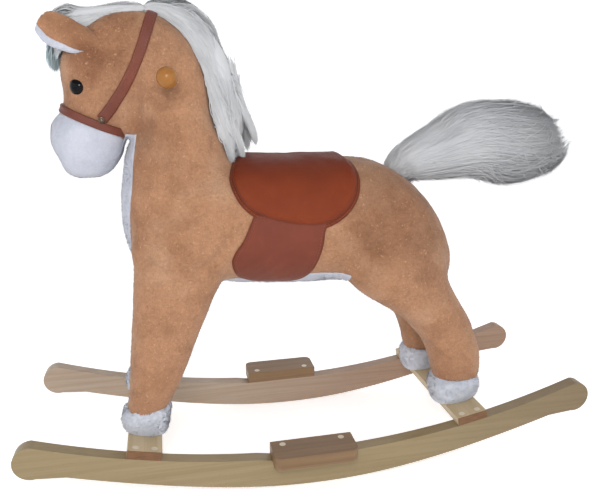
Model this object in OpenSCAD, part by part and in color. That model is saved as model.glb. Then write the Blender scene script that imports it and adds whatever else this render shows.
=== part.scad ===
// Plush rocking horse on a wooden rocker base.
// +X runs to the tail, -X to the nose, -Y is the horse's left, +Z is up.
// The origin is on the floor, under the middle of the rockers.

/* [Rocker base] */
// Length of each rocker, tip to tip
rocker_l = 740; // [700:5:800]
// Thickness of a rocker
rocker_t = 17; // [15:0.5:20]
// Distance between the rockers' outer faces
base_w = 230; // [220:2:250]
// Height of a rocker at its middle
rocker_h = 39; // [36:0.5:42]
// Radius of the running edge at its middle
runner_r = 720; // [650:10:850]
// Slope that the running edge tends to at its ends
runner_slope = 0.37; // [0.32:0.01:0.4]
// Radius of the rounded end knobs of a rocker
tip_r = 20.5; // [19:0.5:21]
// Length of a crossbar along the rocker
bar_w = 40; // [36:1:44]
// Thickness of a crossbar
bar_t = 11; // [9:0.5:13]
// Middle of the front crossbar
front_bar_x = -225; // [-230:1:-220]
// Middle of the rear crossbar
rear_bar_x = 200; // [196:1:204]

/* [Footrests] */
// Length of a footrest
rest_l = 106; // [96:2:116]
// Width of a footrest, from the rocker's inner face outwards
rest_w = 41; // [36:1:46]
// Thickness of a footrest
rest_t = 16; // [13:0.5:18]
// Middle of the footrests
rest_x = -18; // [-24:1:-12]
// Distance between the two screws of a footrest
rest_screw_gap = 76; // [70:1:80]

/* [Inner frame] */
// Side of the square leg posts
post_w = 18; // [16:1:20]
// Distance of the leg posts from the middle
post_y = 51; // [49:0.5:52]
// Underside of the spine board
spine_z = 298; // [294:1:300]
// Thickness of the spine board
spine_t = 12; // [10:1:15]
// Thickness of the neck board
neck_t = 18; // [15:1:20]

/* [Handle] */
// Radius of the handle dowel
dowel_r = 6; // [5.5:0.1:6.5]
// Radius of the handle's end knobs
knob_r = 11.5; // [11:0.5:12.5]
// Distance of a knob's centre from the middle
knob_y = 92; // [86:1:98]
// Radial clearance of the dowel in the neck board
dowel_gap = 0.06; // [0.02:0.01:0.1]

/* [Covers] */
// Thickness of the plush covers
cover_t = 3; // [2:0.5:4]
// Thickness of the saddle seat over the body
seat_t = 9; // [7:0.5:11]
// Thickness of the saddle flaps over the body
flap_t = 4; // [3:0.5:5]
// Width of the bridle's straps
strap_w = 12; // [10:0.5:13]
// Thickness of the bridle's straps
strap_t = 2; // [1.5:0.5:2.5]

/* [Hidden] */

$fn = 48;
EPS = 0.01;
BIG = 900;
LEFT = -1;
RIGHT = 1;
SIDES = [LEFT, RIGHT];

birch = "BurlyWood";
oak = "Peru";
plush = "Tan";
white_plush = "WhiteSmoke";
hide = "SaddleBrown";
steel = "LightGray";

half_l = rocker_l / 2;
inner_y = base_w / 2 - rocker_t;
rail_y = base_w / 2 - rocker_t / 2;
tip_x = half_l - tip_r;

// ---- Curves of the rocker -------------------------------------------------
// The running edge is a hyperbola: round in the middle, straighter outwards.
runner_h = runner_slope * runner_slope * runner_r;
function runner_z(x) = sqrt(pow(runner_h, 2) + pow(runner_slope * x, 2)) - runner_h;
top_rise = 65;
function top_z(x) = rocker_h + top_rise * pow(x / half_l, 2);
tip_z = top_z(tip_x) - tip_r;
rest_z = rocker_h + 0.6;
rest_x0 = rest_x - rest_l / 2;
rest_x1 = rest_x + rest_l / 2;

runner_end = half_l - 57;
runner_facets = 41;
facet_l = 2 * runner_end / runner_facets;
low_z = runner_z(facet_l / 2);
function steps(a, b, n) = [for (i = [0 : n]) a + (b - a) * i / n];
function tip_arc(side, a0, a1) =
    [for (a = steps(a0, a1, 18)) [side * (tip_x + tip_r * cos(a)), tip_z + tip_r * sin(a)]];
// The top edge is straight under each crossbar and under the footrest.
top_xs = concat(
    steps(tip_x - 6, rear_bar_x + bar_w / 2, 8), steps(rear_bar_x - bar_w / 2, rest_x1, 8),
    steps(rest_x0, front_bar_x + bar_w / 2, 8), steps(front_bar_x - bar_w / 2, 6 - tip_x, 7));
function seat_z(x) = x >= rest_x0 && x <= rest_x1 ? rest_z : top_z(x);
rocker_outline = concat(
    [for (x = steps(-runner_end, runner_end, runner_facets)) [x, runner_z(x) - low_z]],
    tip_arc(RIGHT, -100, 90),
    [for (x = top_xs) [x, seat_z(x)]],
    [for (p = tip_arc(LEFT, 90, -100)) p]);

// ---- Crossbar frames: local x along the rocker's top, local z off it -------
function bar_drop(x) = top_z(x + bar_w / 2) - top_z(x - bar_w / 2);
function bar_tilt(x) = atan2(bar_drop(x), bar_w);
function bar_mid_z(x) = (top_z(x + bar_w / 2) + top_z(x - bar_w / 2)) / 2;
module on_bar(x) {
    translate([x, 0, bar_mid_z(x)]) rotate([0, -bar_tilt(x), 0]) children();
}
bar_l = bar_w / cos(bar_tilt(front_bar_x));
bar_xs = [front_bar_x, rear_bar_x];
bar_screw_gap = 22;

// ---- Screws and plugs --------------------------------------------------------
plug_r = 4;
plug_h = 4;
shank_r = 1.8;
head_r = 3.6;
head_h = 3;
// A countersunk screw, its head's top at z = 0, with a true cylinder shank.
module screw(length, r = shank_r) {
    translate([0, 0, -length]) cylinder(r = r, h = length);
    translate([0, 0, -head_h]) cylinder(r1 = r, r2 = head_r, h = head_h);
}
module plug() {
    translate([0, 0, -plug_h]) cylinder(r = plug_r, h = plug_h);
}
// The hole for a screw under a plug; the top of the wood is at z = 0.
module screw_hole(length) {
    translate([0, 0, -plug_h]) cylinder(r = plug_r, h = plug_h + 1);
    translate([0, 0, -plug_h]) screw(length);
}
module at_rest_screws(sides = SIDES) {
    for (side = sides, dx = [-0.5, 0.5])
        translate([rest_x + dx * rest_screw_gap, side * rail_y, rest_z + rest_t]) children();
}
module at_bar_screws(xs = bar_xs, sides = SIDES) {
    for (x = xs, side = sides, dx = [-0.5, 0.5])
        on_bar(x) translate([dx * bar_screw_gap, side * rail_y, bar_t]) children();
}
rest_screw_l = 34;
bar_screw_l = 30;

// ---- Lofts: rings of a superellipse along a path ----------------------------
function power(v, p) = sign(v) * pow(abs(v), p);
function pick(list, i) = list[max(0, min(len(list) - 1, i))];
function spline(p0, p1, p2, p3, t) = 0.5 * (2 * p1 + (p2 - p0) * t
    + (2 * p0 - 5 * p1 + 4 * p2 - p3) * t * t + (3 * p1 - p0 - 3 * p2 + p3) * t * t * t);
function smooth(list, n) = concat(
    [for (i = [0 : len(list) - 2], k = [0 : n - 1])
        spline(pick(list, i - 1), list[i], list[i + 1], pick(list, i + 2), k / n)],
    [list[len(list) - 1]]);
// A station is [x, z, half size across the path, half width in y].
function heading(s, i) = let (d = pick(s, i + 1) - pick(s, i - 1)) atan2(-d[0], d[1]);
function grown(s, g) = let (m = len(s) - 1, a = s[0] - s[1], b = s[m] - s[m - 1])
    [for (i = [0 : m])
        let (e = i == 0 ? a / norm([a[0], a[1]]) : i == m ? b / norm([b[0], b[1]]) : [0, 0])
        [s[i][0] + g * e[0], s[i][1] + g * e[1], s[i][2] + g, s[i][3] + g]];
function ring(s, tilt, y, n, e) = [for (i = [0 : n - 1])
    let (t = 360 * i / n, u = s[2] * power(cos(t), 2 / e), w = s[3] * power(sin(t), 2 / e))
    [s[0] + u * cos(tilt), y + w, s[1] + u * sin(tilt)]];
module loft(stations, g = 0, tilt = undef, y = 0, n = 16, e = 2.25, fine = 2) {
    s = grown(smooth(stations, fine), g);
    m = len(s);
    points = [for (i = [0 : m - 1]) each ring(s[i], is_undef(tilt) ? heading(s, i) : tilt, y, n, e)];
    sides = [for (k = [0 : m - 2], i = [0 : n - 1])
        let (j = (i + 1) % n, a = k * n + i, b = a + n, c = (k + 1) * n + j, d = k * n + j)
        each [[a, b, c], [a, c, d]]];
    polyhedron(points, concat([[for (i = [0 : n - 1]) i]], sides,
        [[for (i = [n - 1 : -1 : 0]) (m - 1) * n + i]]), convexity = 4);
}

// ---- Stuffed shapes ------------------------------------------------------------
torso_stations = [
    [197, 256, 12, 20], [188, 261, 36, 46], [166, 280, 58, 68], [128, 302, 74, 80],
    [80, 317, 82, 84], [20, 319, 80, 83], [-40, 320, 79, 83], [-100, 325, 78, 84],
    [-150, 334, 81, 82], [-195, 342, 82, 72], [-222, 344, 60, 50], [-233, 343, 22, 22]];
neck_stations = [
    [-158, 360, 66, 66], [-162, 400, 66, 66], [-163, 440, 50, 57], [-166, 470, 47, 52],
    [-170, 500, 48, 50], [-179, 530, 47, 48], [-192, 556, 40, 42], [-203, 574, 24, 28]];
head_stations = [
    [-269, 387, 12, 12], [-269, 393, 24, 24], [-267, 408, 34, 33], [-266, 428, 41, 38],
    [-264, 447, 42, 40], [-256, 466, 38, 39], [-251, 482, 40, 41], [-246, 502, 46, 44],
    [-240, 524, 50, 47], [-230, 546, 48, 45], [-217, 565, 36, 36], [-209, 576, 20, 22]];
front_leg_stations = [
    [-224, 86, 24, 24], [-214, 112, 28, 27], [-205, 140, 33, 29], [-198, 170, 38, 30],
    [-190, 200, 42, 31], [-180, 235, 48, 33], [-169, 272, 56, 34], [-163, 305, 61, 34],
    [-162, 340, 58, 30]];
rear_leg_stations = [
    [200, 84, 27, 24], [199, 110, 35, 28], [194, 137, 37, 30], [184, 160, 39, 31],
    [168, 185, 44, 33], [152, 202, 50, 34], [130, 223, 60, 35], [112, 245, 68, 36],
    [103, 272, 71, 36], [101, 294, 66, 32]];
front_hoof_stations = [[-222, 66, 24, 23], [-222, 78, 28, 27], [-221, 92, 30, 29],
    [-217, 104, 29, 29], [-215, 111, 26, 26]];
rear_hoof_stations = [[198, 60, 27, 24], [198, 74, 32, 28], [198, 88, 35, 30],
    [198, 99, 35, 30], [199, 106, 32, 27]];
leg_y = 54;

module torso_shape(g = 0) loft(torso_stations, g, tilt = 90);
module neck_shape(g = 0) loft(neck_stations, g, tilt = 0);
module head_shape(g = 0) loft(head_stations, g, tilt = 0, fine = 2);
module leg_shape(stations, side, g = 0) loft(stations, g, tilt = 0, y = side * leg_y, n = 14);

// Everything above (or below) a plane through (x, z), sloping by a degrees.
module above(x, z, a) {
    translate([x, 0, z]) rotate([0, a, 0]) translate([-BIG / 2, -BIG / 2, 0]) cube([BIG, BIG, BIG]);
}
module below(x, z, a) {
    translate([x, 0, z]) rotate([0, a, 0]) translate([-BIG / 2, -BIG / 2, -BIG]) cube([BIG, BIG, BIG]);
}
// A slab of the given thickness across the side view.
module slab(x, z, a, t) {
    translate([x, 0, z]) rotate([0, a, 0]) translate([-BIG / 2, -BIG / 2, -t / 2]) cube([BIG, BIG, t]);
}
module half_space(side) {
    translate([-BIG / 2, side > 0 ? 0 : -BIG, -BIG / 2]) cube([BIG, BIG, 2 * BIG]);
}

// ---- Inner frame ---------------------------------------------------------------
hoof_floor = bar_t + EPS;
module post(x, side) {
    intersection() {
        on_bar(x) translate([-post_w / 2, side * post_y - post_w / 2, bar_t])
            cube([post_w, post_w, 300]);
        translate([-BIG / 2, -BIG / 2, 0]) cube([BIG, BIG, spine_z]);
    }
}
function post_top_x(x) = x - sin(bar_tilt(x)) * (spine_z - bar_mid_z(x)) / cos(bar_tilt(x));
module leg_screw_at(x, side) {
    on_bar(x) translate([0, side * post_y, 0]) mirror([0, 0, 1]) children();
}
leg_screw_l = 50;
leg_screw_r = 2.5;
spine_x0 = -190;
spine_x1 = 166;
spine_w = 120;
module spine_blank() {
    translate([spine_x0, -spine_w / 2, spine_z]) cube([spine_x1 - spine_x0, spine_w, spine_t]);
}
neck_outline = [[-188, 0], [-120, 0], [-136, 90], [-146, 160], [-150, 225], [-164, 250],
    [-200, 250], [-210, 228], [-203, 160], [-204, 90]];
handle_x = -172;
handle_z = 501;
module neck_blank() {
    translate([0, neck_t / 2, spine_z + spine_t]) rotate([90, 0, 0])
        linear_extrude(neck_t) polygon(neck_outline);
}
module frame_space() {
    spine_blank();
    neck_blank();
    for (x = bar_xs, side = SIDES) post(x, side);
}
neck_screw_xs = [-176, -132];
neck_screw_l = 40;
spine_screw_l = 32;
module at_spine_screws() {
    for (x = bar_xs, side = SIDES)
        translate([post_top_x(x), side * post_y, spine_z + spine_t]) children();
}

// ---- Base ------------------------------------------------------------------------
module rocker(side) {
    color(birch) difference() {
        translate([0, side * rail_y + rocker_t / 2, 0]) rotate([90, 0, 0])
            linear_extrude(rocker_t) polygon(rocker_outline);
        at_rest_screws([side]) translate([0, 0, -plug_h]) screw(rest_screw_l);
        at_bar_screws(bar_xs, [side]) translate([0, 0, -plug_h]) screw(bar_screw_l);
    }
}
module rocker_left() rocker(LEFT);
module rocker_right() rocker(RIGHT);

module crossbar(x) {
    color(birch) difference() {
        on_bar(x) translate([-bar_l / 2, -base_w / 2, 0]) cube([bar_l, base_w, bar_t]);
        at_bar_screws([x]) screw_hole(bar_screw_l);
        for (side = SIDES) leg_screw_at(x, side) screw(leg_screw_l, leg_screw_r);
    }
}
module crossbar_front() crossbar(front_bar_x);
module crossbar_rear() crossbar(rear_bar_x);

rest_corner = 9;
module footrest(side) {
    color(oak) difference() {
        translate([rest_x, side * inner_y, rest_z]) linear_extrude(rest_t) {
            out = side * (rest_w - rest_corner);
            translate([-rest_l / 2, min(0, out)]) square([rest_l, rest_w - rest_corner]);
            translate([rest_corner - rest_l / 2, min(0, side * rest_w)])
                square([rest_l - 2 * rest_corner, rest_w]);
            for (dx = [-1, 1]) translate([dx * (rest_l / 2 - rest_corner), out]) circle(rest_corner);
        }
        at_rest_screws([side]) screw_hole(rest_screw_l);
    }
}
module footrest_left() footrest(LEFT);
module footrest_right() footrest(RIGHT);
module footrest_screws() color(steel) at_rest_screws() translate([0, 0, -plug_h]) screw(rest_screw_l);
module footrest_plugs() color(birch) at_rest_screws() plug();
module crossbar_screws() color(steel) at_bar_screws() translate([0, 0, -plug_h]) screw(bar_screw_l);
module crossbar_plugs() color(birch) at_bar_screws() plug();

module leg_post(x, side) {
    color(birch) difference() {
        post(x, side);
        leg_screw_at(x, side) screw(leg_screw_l, leg_screw_r);
        at_spine_screws() screw(spine_screw_l);
    }
}
module leg_post_front_left() leg_post(front_bar_x, LEFT);
module leg_post_front_right() leg_post(front_bar_x, RIGHT);
module leg_post_rear_left() leg_post(rear_bar_x, LEFT);
module leg_post_rear_right() leg_post(rear_bar_x, RIGHT);
module leg_screws() {
    color(steel) for (x = bar_xs, side = SIDES) leg_screw_at(x, side) screw(leg_screw_l, leg_screw_r);
}
module neck_screw_set() {
    for (x = neck_screw_xs) translate([x, 0, spine_z]) mirror([0, 0, 1]) screw(neck_screw_l);
}
module spine_board() {
    color(birch) difference() {
        spine_blank();
        at_spine_screws() screw(spine_screw_l);
        neck_screw_set();
    }
}
module spine_screws() color(steel) at_spine_screws() screw(spine_screw_l);
module neck_board() {
    color(birch) difference() {
        neck_blank();
        neck_screw_set();
        translate([handle_x, 0, handle_z]) rotate([90, 0, 0])
            cylinder(r = dowel_r + dowel_gap, h = 2 * neck_t, center = true);
    }
}
module neck_screws() color(steel) neck_screw_set();

// ---- Handle ------------------------------------------------------------------------
dowel_tip = knob_y + 4;
module handle_dowel() {
    color(birch) translate([handle_x, 0, handle_z]) rotate([90, 0, 0])
        cylinder(r = dowel_r, h = 2 * dowel_tip, center = true);
}
knob_flat = 9.5;
module handle_knob(side) {
    color(oak) translate([handle_x, side * knob_y, handle_z]) rotate([side * 90, 0, 0])
        rotate_extrude() difference() {
            intersection() {
                circle(knob_r);
                translate([0, -knob_r]) square([knob_r, knob_r + knob_flat]);
            }
            translate([-1, knob_y - dowel_tip]) square([1 + dowel_r, BIG]);
        }
}
module handle_knob_left() handle_knob(LEFT);
module handle_knob_right() handle_knob(RIGHT);
module handle_space() {
    translate([handle_x, 0, handle_z]) rotate([90, 0, 0])
        cylinder(r = dowel_r + 0.6, h = 160, center = true, $fn = 24);
}

// ---- Plush covers and fillings ---------------------------------------------------
chest_w = 58;
belly_z = 257;
module chest_zone() {
    intersection() {
        translate([-BIG, -chest_w / 2, 292]) cube([BIG - 185, chest_w, 146]);
        below(-213, 437, 24);
    }
}
module belly_zone() {
    translate([-104, -60, 200]) cube([146, 120, belly_z - 200]);
}
module torso_cover() {
    color(plush) difference() {
        torso_shape();
        torso_shape(-cover_t);
        dock_socket();
        chest_zone();
        belly_zone();
        frame_space();
    }
}
module torso_filling() {
    color(white_plush) difference() {
        torso_shape(-cover_t);
        dock_socket();
        frame_space();
    }
}
module chest_panel() {
    color(white_plush) difference() {
        intersection() {
            union() {
                torso_shape();
                neck_shape();
            }
            chest_zone();
        }
        torso_shape(-cover_t);
        neck_shape(-cover_t);
        head_shape();
    }
}
module belly_panel() {
    color(white_plush) difference() {
        intersection() {
            torso_shape();
            belly_zone();
        }
        torso_shape(-cover_t);
    }
}
module neck_cover() {
    color(plush) difference() {
        neck_shape();
        neck_shape(-cover_t);
        torso_shape();
        head_shape();
        chest_zone();
        handle_space();
    }
}
module neck_filling() {
    color(white_plush) difference() {
        neck_shape(-cover_t);
        torso_shape();
        head_shape();
        neck_blank();
        handle_space();
    }
}
// The noseband's plane parts the muzzle from the head.
nose_x = -254;
nose_z = 451;
nose_a = 24;
module head_cover() {
    color(plush) difference() {
        head_shape();
        head_shape(-cover_t);
        below(nose_x, nose_z, nose_a);
        eye_space();
        neck_blank();
        handle_space();
    }
}
module muzzle_cover() {
    color(white_plush) difference() {
        head_shape();
        head_shape(-cover_t);
        above(nose_x, nose_z, nose_a);
    }
}
module head_filling() {
    color(white_plush) difference() {
        head_shape(-cover_t);
        eye_space();
        neck_blank();
        handle_space();
    }
}

hoof_top_front = 107;
hoof_top_rear = 102;
module leg_cover(stations, side, hoof_top) {
    color(plush) difference() {
        leg_shape(stations, side);
        leg_shape(stations, side, -cover_t);
        torso_shape();
        translate([-BIG / 2, -BIG / 2, 0]) cube([BIG, BIG, hoof_top]);
        spine_blank();
    }
}
module leg_cover_front_left() leg_cover(front_leg_stations, LEFT, hoof_top_front);
module leg_cover_front_right() leg_cover(front_leg_stations, RIGHT, hoof_top_front);
module leg_cover_rear_left() leg_cover(rear_leg_stations, LEFT, hoof_top_rear);
module leg_cover_rear_right() leg_cover(rear_leg_stations, RIGHT, hoof_top_rear);

module over_bar(x) {
    on_bar(x) translate([-BIG / 2, -BIG / 2, hoof_floor]) cube([BIG, BIG, BIG]);
}
module leg_filling(stations, x, side) {
    color(white_plush) difference() {
        leg_shape(stations, side, -cover_t);
        torso_shape();
        post(x, side);
        spine_blank();
    }
}
module leg_filling_front_left() leg_filling(front_leg_stations, front_bar_x, LEFT);
module leg_filling_front_right() leg_filling(front_leg_stations, front_bar_x, RIGHT);
module leg_filling_rear_left() leg_filling(rear_leg_stations, rear_bar_x, LEFT);
module leg_filling_rear_right() leg_filling(rear_leg_stations, rear_bar_x, RIGHT);
module hoof(stations, leg_stations, x, side, hoof_top) {
    color(white_plush) difference() {
        intersection() {
            leg_shape(stations, side);
            translate([-BIG / 2, -BIG / 2, 0]) cube([BIG, BIG, hoof_top]);
            over_bar(x);
        }
        leg_shape(leg_stations, side, -cover_t);
        post(x, side);
    }
}
module hoof_front(side) {
    hoof(front_hoof_stations, front_leg_stations, front_bar_x, side, hoof_top_front);
}
module hoof_rear(side) {
    hoof(rear_hoof_stations, rear_leg_stations, rear_bar_x, side, hoof_top_rear);
}
module hoof_front_left() hoof_front(LEFT);
module hoof_front_right() hoof_front(RIGHT);
module hoof_rear_left() hoof_rear(LEFT);
module hoof_rear_right() hoof_rear(RIGHT);

// ---- Face ----------------------------------------------------------------------------
ear_stations = [[-244, 541, 21, 9], [-258, 547, 24, 10], [-276, 555, 22, 8], [-292, 562, 15, 5],
    [-304, 568, 5, 2]];
ear_y = 37;
module ear_shape(side) loft(ear_stations, y = side * ear_y, n = 12);
module ear(side) {
    color(plush) difference() {
        intersection() {
            ear_shape(side);
            translate([0, side * (ear_y - 1), 0]) half_space(side);
        }
        head_shape();
    }
}
module ear_lining(side) {
    color(white_plush) difference() {
        ear_shape(side);
        translate([0, side * (ear_y - 1), 0]) half_space(side);
        head_shape();
    }
}
module ear_left() ear(LEFT);
module ear_right() ear(RIGHT);
module ear_lining_left() ear_lining(LEFT);
module ear_lining_right() ear_lining(RIGHT);

eye_x = -272;
eye_y = 35;
eye_z = 492;
eye_turn = 33;
eye_r = 9;
eye_dome_r = 11;
shank_l = 12;
module at_eye(side) {
    translate([eye_x, side * eye_y, eye_z]) rotate([0, 0, side * (90 + eye_turn)])
        rotate([0, 90, 0]) children();
}
module eye_solid() {
    intersection() {
        translate([0, 0, 4 - eye_dome_r]) sphere(eye_dome_r);
        translate([0, 0, -3]) cylinder(r = eye_r, h = 12);
    }
    translate([0, 0, -shank_l - 3]) cylinder(r = 2, h = shank_l + 3);
}
module washer_solid() {
    translate([0, 0, -shank_l]) difference() {
        cylinder(r = 7, h = 1.5);
        translate([0, 0, -1]) cylinder(r = 2, h = 4);
    }
}
module eye_space() {
    for (side = SIDES) at_eye(side) {
        eye_solid();
        washer_solid();
    }
}
module eyes() color("Black") for (side = SIDES) at_eye(side) eye_solid();
module eye_washers() color(white_plush) for (side = SIDES) at_eye(side) washer_solid();

// ---- Hair ------------------------------------------------------------------------------
forelock_stations = [[-300, 512, 3, 5], [-301, 532, 6, 12], [-294, 553, 9, 18], [-270, 570, 10, 20],
    [-240, 577, 9, 20], [-212, 580, 6, 17], [-190, 578, 4, 12]];
mane_stations = [[-78, 414, 5, 22], [-86, 436, 16, 31], [-99, 472, 18, 35], [-112, 510, 19, 34],
    [-128, 545, 19, 33], [-150, 571, 16, 28], [-174, 579, 9, 20]];
module forelock() {
    color(white_plush) difference() {
        loft(forelock_stations, n = 12);
        head_shape();
        neck_shape();
        for (side = SIDES) ear_shape(side);
        headstall_space();
    }
}
module mane() {
    color(white_plush) difference() {
        loft(mane_stations);
        neck_shape();
        torso_shape();
        head_shape();
        saddle_space();
        headstall_space();
    }
}

dock_x = 128;
dock_z = 388;
dock_r = 13;
socket_gap = 0.6;
tail_stations = [[366, 426, 8, 6], [352, 418, 26, 16], [330, 413, 42, 26], [300, 412, 52, 34],
    [250, 414, 52, 38], [205, 410, 42, 34], [172, 402, 31, 26], [150, 396, 22, 19], [132, 392, 15, 14]];
module dock_socket() translate([dock_x, 0, dock_z]) sphere(dock_r + socket_gap);
module tail_dock() color(plush) translate([dock_x, 0, dock_z]) sphere(dock_r);
module tail_hair() {
    color(white_plush) difference() {
        loft(tail_stations);
        dock_socket();
        torso_shape(2);
    }
}

// ---- Bridle ----------------------------------------------------------------------------
module head_and_neck(g = 0) {
    head_shape(g);
    neck_shape(g);
}
module noseband() {
    color(hide) difference() {
        intersection() {
            head_shape(strap_t);
            slab(nose_x, nose_z, nose_a, strap_w - 3);
        }
        head_shape();
        rivet_space();
    }
}
// The cheek straps run along an arc in the side view.
stall_x = -451;
stall_z = 640;
stall_r = 275;
module headstall_zone() {
    difference() {
        translate([stall_x, 0, stall_z]) rotate([90, 0, 0]) difference() {
            cylinder(r = stall_r + strap_w / 2, h = BIG, center = true, $fn = 360);
            cylinder(r = stall_r - strap_w / 2, h = BIG + 2, center = true, $fn = 360);
        }
        below(nose_x, nose_z + 5, nose_a);
        translate([-BIG, -BIG / 2, 0]) cube([BIG + stall_x, BIG, BIG]);
    }
}
module headstall_space() {
    intersection() {
        head_and_neck(strap_t);
        headstall_zone();
    }
}
module headstall() {
    color(hide) difference() {
        headstall_space();
        head_and_neck();
        rivet_space();
    }
}
rivet_x = -246;
rivet_z = 459;
module rivet_space() {
    for (side = SIDES) translate([rivet_x, side * 36, rivet_z]) rotate([-side * 90, 0, 0])
        cylinder(r = 3, h = 8);
}
module bridle_rivets() color(steel) difference() {
    rivet_space();
    head_shape();
}

// ---- Saddle ----------------------------------------------------------------------------
seat_outline = [[-80, 430], [-90, 412], [-98, 398], [-102, 382], [-97, 366], [-86, 350], [-70, 339],
    [-47, 331], [-20, 326], [2, 326], [20, 333], [34, 345], [44, 362], [49, 380], [48, 397],
    [44, 412], [40, 430]];
flap_outline = [[-80, 345], [-94, 315], [-105, 298], [-107, 284], [-100, 268], [-88, 259], [-62, 254],
    [-34, 252], [-17, 259], [-7, 275], [0, 296], [3, 318], [3, 345]];
module side_view(outline, grow = 0) {
    translate([0, BIG / 2, 0]) rotate([90, 0, 0]) linear_extrude(BIG)
        offset(r = grow, $fn = 24) polygon(outline);
}
rim_w = 3;
module saddle_space() {
    intersection() {
        torso_shape(seat_t + 1.5);
        side_view(seat_outline);
    }
}
module saddle_seat() {
    color(hide) difference() {
        intersection() {
            torso_shape(seat_t);
            side_view(seat_outline, -rim_w);
        }
        torso_shape();
        neck_shape();
    }
}
module saddle_piping() {
    color(hide) difference() {
        intersection() {
            torso_shape(seat_t + 1.5);
            side_view(seat_outline);
        }
        side_view(seat_outline, -rim_w);
        torso_shape();
        neck_shape();
    }
}
module saddle_flap(side) {
    color(hide) difference() {
        intersection() {
            torso_shape(flap_t);
            side_view(flap_outline);
            half_space(side);
        }
        torso_shape();
        side_view(seat_outline);
        for (s = SIDES) leg_shape(front_leg_stations, s);
    }
}
module saddle_flap_left() saddle_flap(LEFT);
module saddle_flap_right() saddle_flap(RIGHT);

rocker_left();
rocker_right();
crossbar_front();
crossbar_rear();
footrest_left();
footrest_right();
footrest_screws();
footrest_plugs();
crossbar_screws();
crossbar_plugs();
leg_post_front_left();
leg_post_front_right();
leg_post_rear_left();
leg_post_rear_right();
leg_screws();
spine_board();
spine_screws();
neck_board();
neck_screws();
handle_dowel();
handle_knob_left();
handle_knob_right();
torso_cover();
torso_filling();
chest_panel();
belly_panel();
neck_cover();
neck_filling();
head_cover();
head_filling();
muzzle_cover();
leg_cover_front_left();
leg_cover_front_right();
leg_cover_rear_left();
leg_cover_rear_right();
leg_filling_front_left();
leg_filling_front_right();
leg_filling_rear_left();
leg_filling_rear_right();
hoof_front_left();
hoof_front_right();
hoof_rear_left();
hoof_rear_right();
ear_left();
ear_right();
ear_lining_left();
ear_lining_right();
eyes();
eye_washers();
forelock();
mane();
tail_dock();
tail_hair();
noseband();
headstall();
bridle_rivets();
saddle_seat();
saddle_piping();
saddle_flap_left();
saddle_flap_right();
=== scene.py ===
"""Plush rocking horse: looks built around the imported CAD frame. Lengths in the tables are in millimetres."""
import math

import bmesh
import bpy
import numpy as np
from mathutils import Matrix, Vector
from mathutils.bvhtree import BVHTree


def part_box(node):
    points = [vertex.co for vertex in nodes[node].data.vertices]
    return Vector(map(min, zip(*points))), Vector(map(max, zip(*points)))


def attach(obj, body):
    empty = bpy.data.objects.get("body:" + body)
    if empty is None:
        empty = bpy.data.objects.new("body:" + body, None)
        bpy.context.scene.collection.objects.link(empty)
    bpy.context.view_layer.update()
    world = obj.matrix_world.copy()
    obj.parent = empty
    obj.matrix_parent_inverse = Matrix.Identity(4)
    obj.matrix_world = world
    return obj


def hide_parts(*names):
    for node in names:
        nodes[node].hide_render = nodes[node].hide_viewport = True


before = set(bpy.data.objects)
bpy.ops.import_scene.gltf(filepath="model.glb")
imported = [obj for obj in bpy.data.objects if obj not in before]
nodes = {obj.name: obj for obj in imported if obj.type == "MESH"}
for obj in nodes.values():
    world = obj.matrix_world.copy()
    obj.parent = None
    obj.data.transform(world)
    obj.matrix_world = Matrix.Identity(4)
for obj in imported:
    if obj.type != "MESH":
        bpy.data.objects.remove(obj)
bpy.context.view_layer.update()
MM = 0.001
SIDES = ((-1, "left"), (1, "right"))


def full_or_quick(full):
    return full


SKIN_VOXEL = full_or_quick(3.0)
SKIN_ROUNDS = full_or_quick(22)
SEAT_RINGS = full_or_quick(46)
FLAP_RINGS = 26
PILE_GAP = full_or_quick(1.45)
HAIR_SHARE = full_or_quick(1.0)

# ---------------------------------------------------------------- stations of the CAD lofts
# each is x, z, half depth, half width
TORSO = [[197, 256, 12, 20], [188, 261, 36, 46], [166, 280, 58, 68], [128, 302, 74, 80], [80, 317, 82, 84],
         [20, 319, 80, 83], [-40, 320, 79, 83], [-100, 325, 78, 84], [-150, 334, 81, 82],
         [-195, 342, 82, 72], [-222, 344, 60, 50], [-233, 343, 22, 22]]
NECK = [[-158, 360, 66, 66], [-162, 400, 66, 66], [-163, 440, 50, 57], [-166, 470, 47, 52],
        [-170, 500, 48, 50], [-179, 530, 47, 48], [-192, 556, 40, 42], [-203, 574, 24, 28]]
HEAD = [[-269, 387, 12, 12], [-269, 393, 24, 24], [-267, 408, 34, 33], [-266, 428, 41, 38],
        [-264, 447, 42, 40], [-256, 466, 38, 39], [-251, 482, 40, 41], [-246, 502, 46, 44],
        [-240, 524, 50, 47], [-230, 546, 48, 45], [-217, 565, 36, 36], [-209, 576, 20, 22]]
FRONT_LEG = [[-224, 86, 24, 24], [-214, 112, 28, 27], [-205, 140, 33, 29], [-198, 170, 38, 30],
             [-190, 200, 42, 31], [-180, 235, 48, 33], [-169, 272, 56, 34], [-163, 305, 61, 34],
             [-162, 340, 58, 30]]
REAR_LEG = [[200, 84, 27, 24], [199, 110, 35, 28], [194, 137, 37, 30], [184, 160, 39, 31],
            [168, 185, 44, 33], [152, 202, 50, 34], [130, 223, 60, 35], [112, 245, 68, 36],
            [103, 272, 71, 36], [101, 294, 66, 32]]
FRONT_HOOF = [[-222, 58, 22, 21], [-222, 66, 25, 24], [-222, 78, 27.5, 26.5], [-221, 90, 28.5, 28],
              [-218.5, 99, 28, 27.5], [-217, 104, 24.5, 24.5]]
REAR_HOOF = [[198, 52, 25, 22], [198, 60, 28, 25], [198, 74, 31, 28], [198, 86, 33, 30],
             [198.5, 94, 32, 29.5], [199, 99.5, 28, 27]]
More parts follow.
